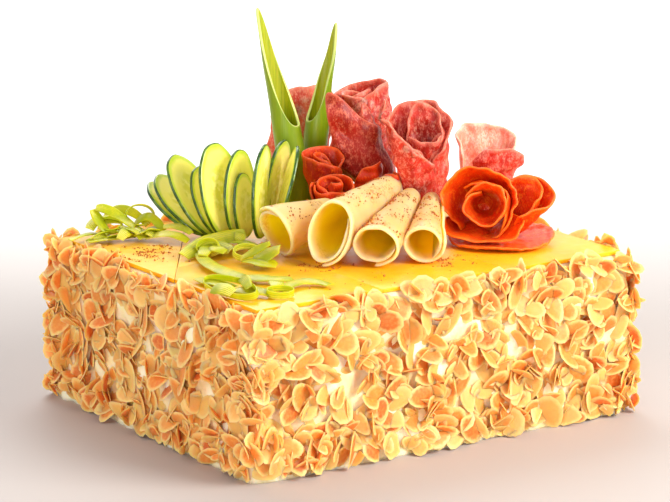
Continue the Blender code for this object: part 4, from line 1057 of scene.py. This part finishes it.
def sweep_points(count):
    """The card's section: flat, then up through a quarter circle, carried straight across."""
    depth, curve, height, width = 1.3, 0.9, 2.4, 3.5
    turn = np.linspace(0, math.pi / 2, count)
    back = np.concatenate([[-2.6], depth + curve * np.sin(turn), [depth + curve]])
    up = np.concatenate([[0], curve * (1 - np.cos(turn)), [height]])
    c, s = math.cos(SHOW_TURN), math.sin(SHOW_TURN)
    across = np.array([-width, width])
    x = across[None] * c - back[:, None] * s
    y = across[None] * s + back[:, None] * c
    return np.stack(np.broadcast_arrays(x, y, up[:, None]), -1)


section = sweep_points(24)
numbers = np.arange(section.shape[0] * 2).reshape(-1, 2)
card = put_mesh("pale_card", section.reshape(-1, 3), grid_faces(numbers))
finish, tree, shader = new_finish("pale card", Roughness=0.6)
# Painted light: the card goes from grey-pink in front to white at the back, where it also glows
far = wire(tree, "ShaderNodeVectorMath", {0: place(tree), 1: (-math.sin(SHOW_TURN), math.cos(SHOW_TURN), 0)},
           operation="DOT_PRODUCT").outputs["Value"]
far = between(tree, far, 0.1, 1.1)
tree.links.new(blend(tree, far, (0.49, 0.45, 0.432), (1.0, 1.0, 1.0)), shader.inputs["Base Color"])
shader.inputs["Emission Color"].default_value = (1.0, 1.0, 1.0, 1.0)
tree.links.new(reckon(tree, "MULTIPLY", far, 0.35), shader.inputs["Emission Strength"])
card.data.materials.append(finish)

CAMERA_AZIMUTH, CAMERA_ELEVATION, CAMERA_DISTANCE = math.radians(-34.12), math.radians(13.27), 2.0
CAMERA_AIM = np.array([-0.00366, 0.0, 0.09854])
SENSOR_WIDTH, CAMERA_LENS = 36.0, 173.4


def aimed(thing, azimuth, elevation, distance, aim):
    """Put a camera or lamp at an azimuth, elevation and distance from a point, looking at it."""
    level = math.cos(elevation)
    back = np.array([math.sin(azimuth) * level, -math.cos(azimuth) * level, math.sin(elevation)])
    thing.location = aim + distance * back
    thing.rotation_euler = (math.pi / 2 - elevation, 0, azimuth)
    bpy.context.scene.collection.objects.link(thing)


lens = bpy.data.cameras.new("camera")
lens.sensor_width = SENSOR_WIDTH
lens.lens = CAMERA_LENS
lens.clip_end = 20
camera = bpy.data.objects.new("camera", lens)
aimed(camera, CAMERA_AZIMUTH, CAMERA_ELEVATION, CAMERA_DISTANCE, CAMERA_AIM)
bpy.context.scene.camera = camera
bpy.context.scene.view_settings.view_transform = "Standard"

# Each lamp: its azimuth and elevation in degrees, distance, size, watts and colour
LAMPS = (
    ("key lamp", 28, 30, 1.2, 0.7, 20, (1.0, 0.96, 0.9)),
    ("fill lamp", -100, 22, 1.4, 0.9, 4.5, (1.0, 0.96, 0.93)),
    ("low lamp", -44, 6, 1.4, 0.5, 7.0, (1.0, 0.96, 0.93)),
    ("back lamp", 165, 48, 1.4, 1.0, 12, (1.0, 0.98, 0.96)),
)
for name, azimuth, elevation, distance, size, power, colour in LAMPS:
    lamp = bpy.data.lights.new(name, "AREA")
    lamp.size, lamp.energy, lamp.color = size, power, colour
    aimed(bpy.data.objects.new(name, lamp), math.radians(azimuth), math.radians(elevation), distance,
          CAMERA_AIM)
world = bpy.data.worlds.new("studio")
world.use_nodes = True
world.node_tree.nodes["Background"].inputs["Color"].default_value = (1.0, 0.97, 0.95, 1.0)
world.node_tree.nodes["Background"].inputs["Strength"].default_value = 0.46
bpy.context.scene.world = world
